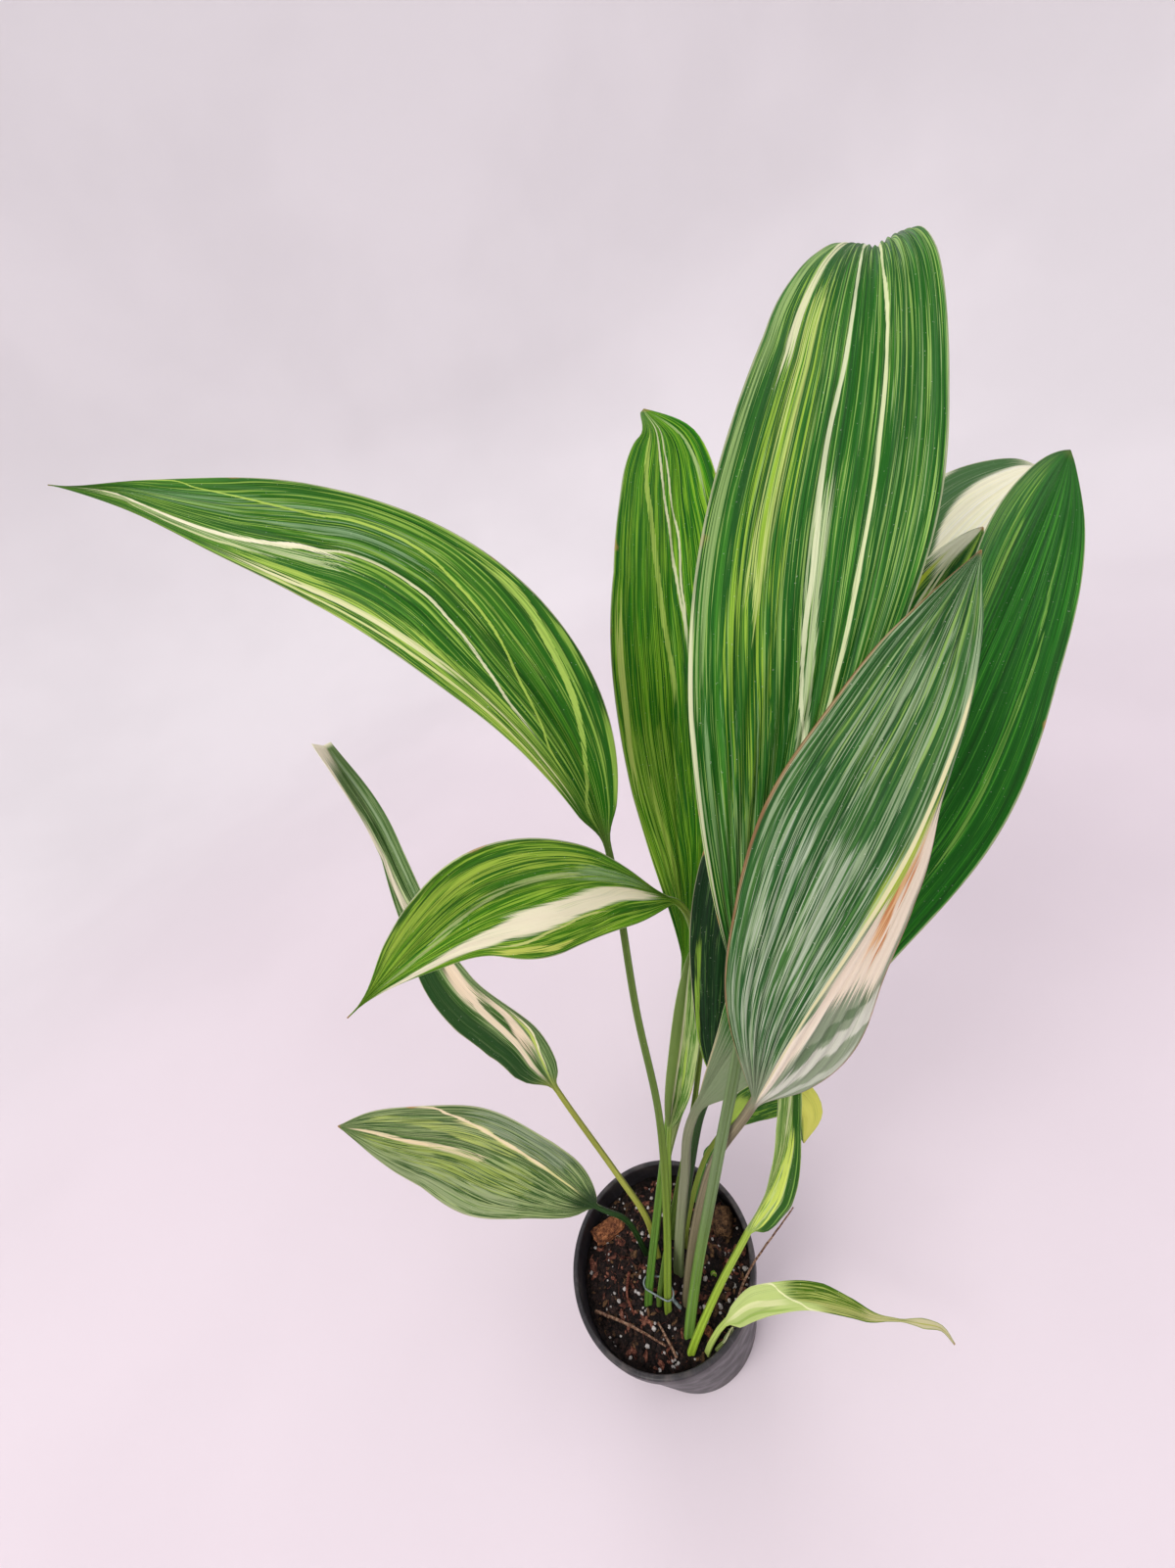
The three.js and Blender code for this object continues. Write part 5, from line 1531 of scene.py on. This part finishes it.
def tube(line, radius_at):
    """Points and faces of a closed tube along a line, in mm. radius_at takes 0 to 1 and the angle."""
    line = np.asarray(line, float)
    count = len(line)
    side = None
    points, faces = [], []
    for i, centre in enumerate(line):
        tangent = unit(line[min(i + 1, count - 1)] - line[max(i - 1, 0)])
        start = side if side is not None else np.array((0.3, 0.2, 1.0))
        side = unit(start - tangent * (start @ tangent))
        other = np.cross(tangent, side)
        for k in range(TUBE_SIDES):
            angle = math.tau * k / TUBE_SIDES
            r = radius_at(i / (count - 1), angle)
            points.append(centre + r * math.cos(angle) * side + r * math.sin(angle) * other)
    for i in range(count - 1):
        for k in range(TUBE_SIDES):
            a, b = i * TUBE_SIDES + k, i * TUBE_SIDES + (k + 1) % TUBE_SIDES
            faces.append((a, b, b + TUBE_SIDES, a + TUBE_SIDES))
    faces.append(tuple(range(TUBE_SIDES - 1, -1, -1)))
    faces.append(tuple(range((count - 1) * TUBE_SIDES, count * TUBE_SIDES)))
    return points, faces


def make_twig(name, twig, material, seed):
    """A dead strand that wanders a little, with knots, and thins towards one end."""
    line, lengths = curve_through(twig["points"])
    count = round(lengths[-1] / TWIG_STEP)
    spots = np.linspace(0, lengths[-1], count)
    steady = np.array([line_at(line, lengths, at) for at in spots])
    wander = WANDER * np.array([noise.noise_vector(Vector((at / WANDER_LENGTH, seed, 0))) for at in spots])
    wander *= np.array((1, 1, 0.4))
    first, last = twig["radius"]

    def radius_at(share, angle):
        knot = max(0.0, noise.noise(Vector((share * 9, seed, 5)))) ** 2
        rough = noise.noise(Vector((share * 40, math.cos(angle) * 2, math.sin(angle) * 2 + seed)))
        return (first + (last - first) * share) * (1 + 1.1 * knot + 0.18 * rough)

    points, faces = tube(steady + wander, radius_at)
    made = make_object(name + "_strand", np.array(points) * MM, faces, material)
    set_values(made, "tint", np.zeros(len(points)))
    return dress(made, "dry_twig", name)


strand = earth_material("dry_strand", (62, 36, 28), (124, 88, 68), (176, 146, 120), 500.0, 0.3, 0.78)
red_root = earth_material("reddish_root", (58, 26, 18), (112, 58, 42), (156, 100, 80), 500.0, 0.3, 0.75)
# One fixed seed bends the strands the same way each time.
noise.seed_set(WANDER_SEED)
for number, (name, twig) in enumerate(TWIGS.items()):
    make_twig(name, twig, red_root if name == "root_strand" else strand, number * 4.0)


# %% Fine fibres
FIBRE_POINTS, FIBRE_STEP = 9, 1.4


def scatter_fibres(name, count, material, seed):
    """Short thin rootlets that lie on the soil."""
    draw = random.Random(seed)
    points, faces, tints = [], [], []
    for _ in range(count):
        angle, distance = draw.uniform(0, math.tau), (SOIL_RADIUS - 10) * math.sqrt(draw.random())
        x, y, heading = distance * math.cos(angle), distance * math.sin(angle), draw.uniform(0, math.tau)
        line = []
        for _ in range(FIBRE_POINTS):
            line.append((x, y, crumbly(x, y) + draw.uniform(0.4, 1.1)))
            heading += draw.uniform(-0.5, 0.5)
            x, y = x + FIBRE_STEP * math.cos(heading), y + FIBRE_STEP * math.sin(heading)
        if min(math.dist(p[:2], foot) for p in line for foot in FEET) < 5:
            continue
        thick = draw.uniform(0.16, 0.38)
        strand_points, strand_faces = tube(line, lambda share, _: thick * (1 - 0.6 * share))
        faces += shifted(strand_faces, len(points))
        points += strand_points
        tints += [draw.random()] * len(strand_points)
    made = make_object(name, np.array(points) * MM, faces, material)
    set_values(made, "tint", tints)
    return dress(made, "potting_soil", "soil")


scatter_fibres("rootlets", 110, red_root, 12)

# %% [markdown]
# ## Wire tie
# A coated wire ring holds three of the stalks together, and its two ends are twisted round each other.
# Both are tubes along a line made by a formula.

# %% Tie
TIE_HEIGHT, TIE_RADIUS, TIE_LEAN = 117, 0.8, 0.25
TIED_STALK_RADIUS = 3.6
TIED = ("leaf_back_upright", "leaf_arching_left", "leaf_left_middle")
TWIST_LENGTH, TWIST_TURNS, TWIST_SWING = 11, 3.5, 0.75


def stalk_place(name, height):
    """Where a stalk's middle line passes a height, in mm."""
    line, _, _ = leaf_line(LEAVES[name])
    return line[np.argmax(line[:, 2] >= height)]


def tie_material():
    material, tree, shader = new_material("grey_coated_wire")
    where = object_place(tree)
    cloud = grain(tree, where, 260.0, 3.0)
    colour = blend(tree, remap(tree, cloud, 0.35, 0.65), paint(84, 98, 98), paint(132, 146, 142))
    fill(tree, shader, {
        "Base Color": colour, "Roughness": remap(tree, cloud, 0.3, 0.7, 0.25, 0.42),
        "Normal": bump(tree, grain(tree, where, 1800.0), 0.3, 0.1)})
    return material


def make_tie(material):
    places = [stalk_place(name, TIE_HEIGHT) for name in TIED]
    middle = sum(places) / len(places)
    reach = TIED_STALK_RADIUS + TIE_RADIUS + CLEARANCE
    turns = np.arange(0, math.tau - 0.05, 0.05) - math.pi / 3
    lean = np.array([(math.cos(a), math.sin(a) * math.cos(TIE_LEAN), math.sin(a) * math.sin(TIE_LEAN))
                     for a in turns])
    loop = np.array([max(places, key=lambda p: float(p @ way)) + reach * way for way in lean])
    knot = loop[0]
    outward, downward = unit(knot - middle), np.array((0, 0, -1.0))
    runs = [loop]
    for phase in (0, math.pi):
        shares = np.linspace(0, 1, 60)
        bend = unit(outward * 0.6 + downward)
        across = np.cross(bend, outward)
        angles = phase + math.tau * TWIST_TURNS * shares
        sideways = unit(across)
        swing = np.outer(np.cos(angles), sideways) + np.outer(np.sin(angles), np.cross(bend, sideways))
        runs.append(knot + np.outer(shares * TWIST_LENGTH, bend) + TWIST_SWING * swing)
    points, faces = [], []
    for run in runs:
        new_points, new_faces = tube(run, lambda share, angle: TIE_RADIUS * 0.85)
        faces += shifted(new_faces, len(points))
        points += new_points
    return make_object("wire_tie", np.array(points) * MM, faces, material)


dress(make_tie(tie_material()), "tie_wire", "tie")

# %% [markdown]
# ## Backdrop and light
# A cove is a floor that curves up into a wall, as in a photo studio, so no horizon shows. It is turned
# from a profile all round the plant, and every view finds the same pale ground. It is a little pinker
# near the pot, and paler on the wall, which gets less light. One large soft light stands at the upper
# left, a weaker one fills the right, a third shines from behind, and the sky is pale too.

# %% Cove
COVE_FLOOR, COVE_BEND, COVE_HEIGHT = 1600, 1400, 4200
COVE_SIDES = 96
NEAR_M, FAR_M = 0.6, 2.4


def cove_material():
    material, tree, shader = new_material("pale_backdrop")
    where = object_place(tree)
    cloud = remap(tree, grain(tree, where, 1.4, 3.0), 0.35, 0.65)
    reach = add_node(tree, "ShaderNodeVectorMath", {0: where}, operation="LENGTH").outputs["Value"]
    near = blend(tree, cloud, paint(223, 212, 219), paint(229, 218, 225))
    far = blend(tree, cloud, paint(232, 228, 231), paint(238, 234, 237))
    colour = blend(tree, remap(tree, reach, NEAR_M, FAR_M), near, far)
    fill(tree, shader, {
        "Base Color": colour, "Roughness": remap(tree, cloud, 0.0, 1.0, 0.8, 0.9),
        "Normal": bump(tree, grain(tree, where, 420.0, 3.0), 0.15, 0.3)})
    return material


def make_cove(material):
    profile = [(r, 0) for r in (90, 200, 500, 1000, COVE_FLOOR)]
    profile += [(COVE_FLOOR + COVE_BEND * math.sin(a), COVE_BEND * (1 - math.cos(a)))
                for a in np.linspace(0, math.pi / 2, 25)[1:]]
    profile.append((COVE_FLOOR + COVE_BEND, COVE_HEIGHT))
    points = [(0, 0, 0)]
    for r, z in profile:
        points += ring(r, z, COVE_SIDES)
    faces = [(0, 1 + k, 1 + (k + 1) % COVE_SIDES) for k in range(COVE_SIDES)]
    for i in range(len(profile) - 1):
        for k in range(COVE_SIDES):
            a, b = 1 + i * COVE_SIDES + k, 1 + i * COVE_SIDES + (k + 1) % COVE_SIDES
            faces.append((a, a + COVE_SIDES, b + COVE_SIDES, b))
    return make_object("studio_cove", np.array(points) * MM, faces, material)


cove = make_cove(cove_material())
print("cove radius in m:", (COVE_FLOOR + COVE_BEND) * MM)


# %% Lights
def area_light(name, position, target, size, power, tone):
    """A square soft light that points at a target, in metres and watts."""
    data = bpy.data.lights.new(name, "AREA")
    data.size = size
    data.energy = power
    data.color = tone
    light = bpy.data.objects.new(name, data)
    light.location = position
    light.rotation_euler = (Vector(target) - Vector(position)).to_track_quat("-Z", "Y").to_euler()
    light.visible_camera = False
    bpy.context.collection.objects.link(light)
    return light


area_light("key_softbox", (-1.5, -1.17, 2.45), (0.05, 0.0, 0.35), 1.4, 43, (1.0, 0.985, 0.96))
area_light("fill_softbox", (1.7, -0.7, 1.5), (0.1, 0.0, 0.35), 1.6, 12, (0.97, 0.97, 1.0))
area_light("back_softbox", (0.2, 1.9, 1.9), (0.1, 0.0, 0.4), 1.6, 10, (1.0, 0.98, 1.0))

world = bpy.data.worlds.new("pale_sky")
world.use_nodes = True
sky = world.node_tree.nodes["Background"]
sky.inputs["Color"].default_value = (0.95, 0.93, 0.95, 1.0)
sky.inputs["Strength"].default_value = 0.64
bpy.context.scene.world = world
bpy.context.scene.view_settings.view_transform = "Standard"
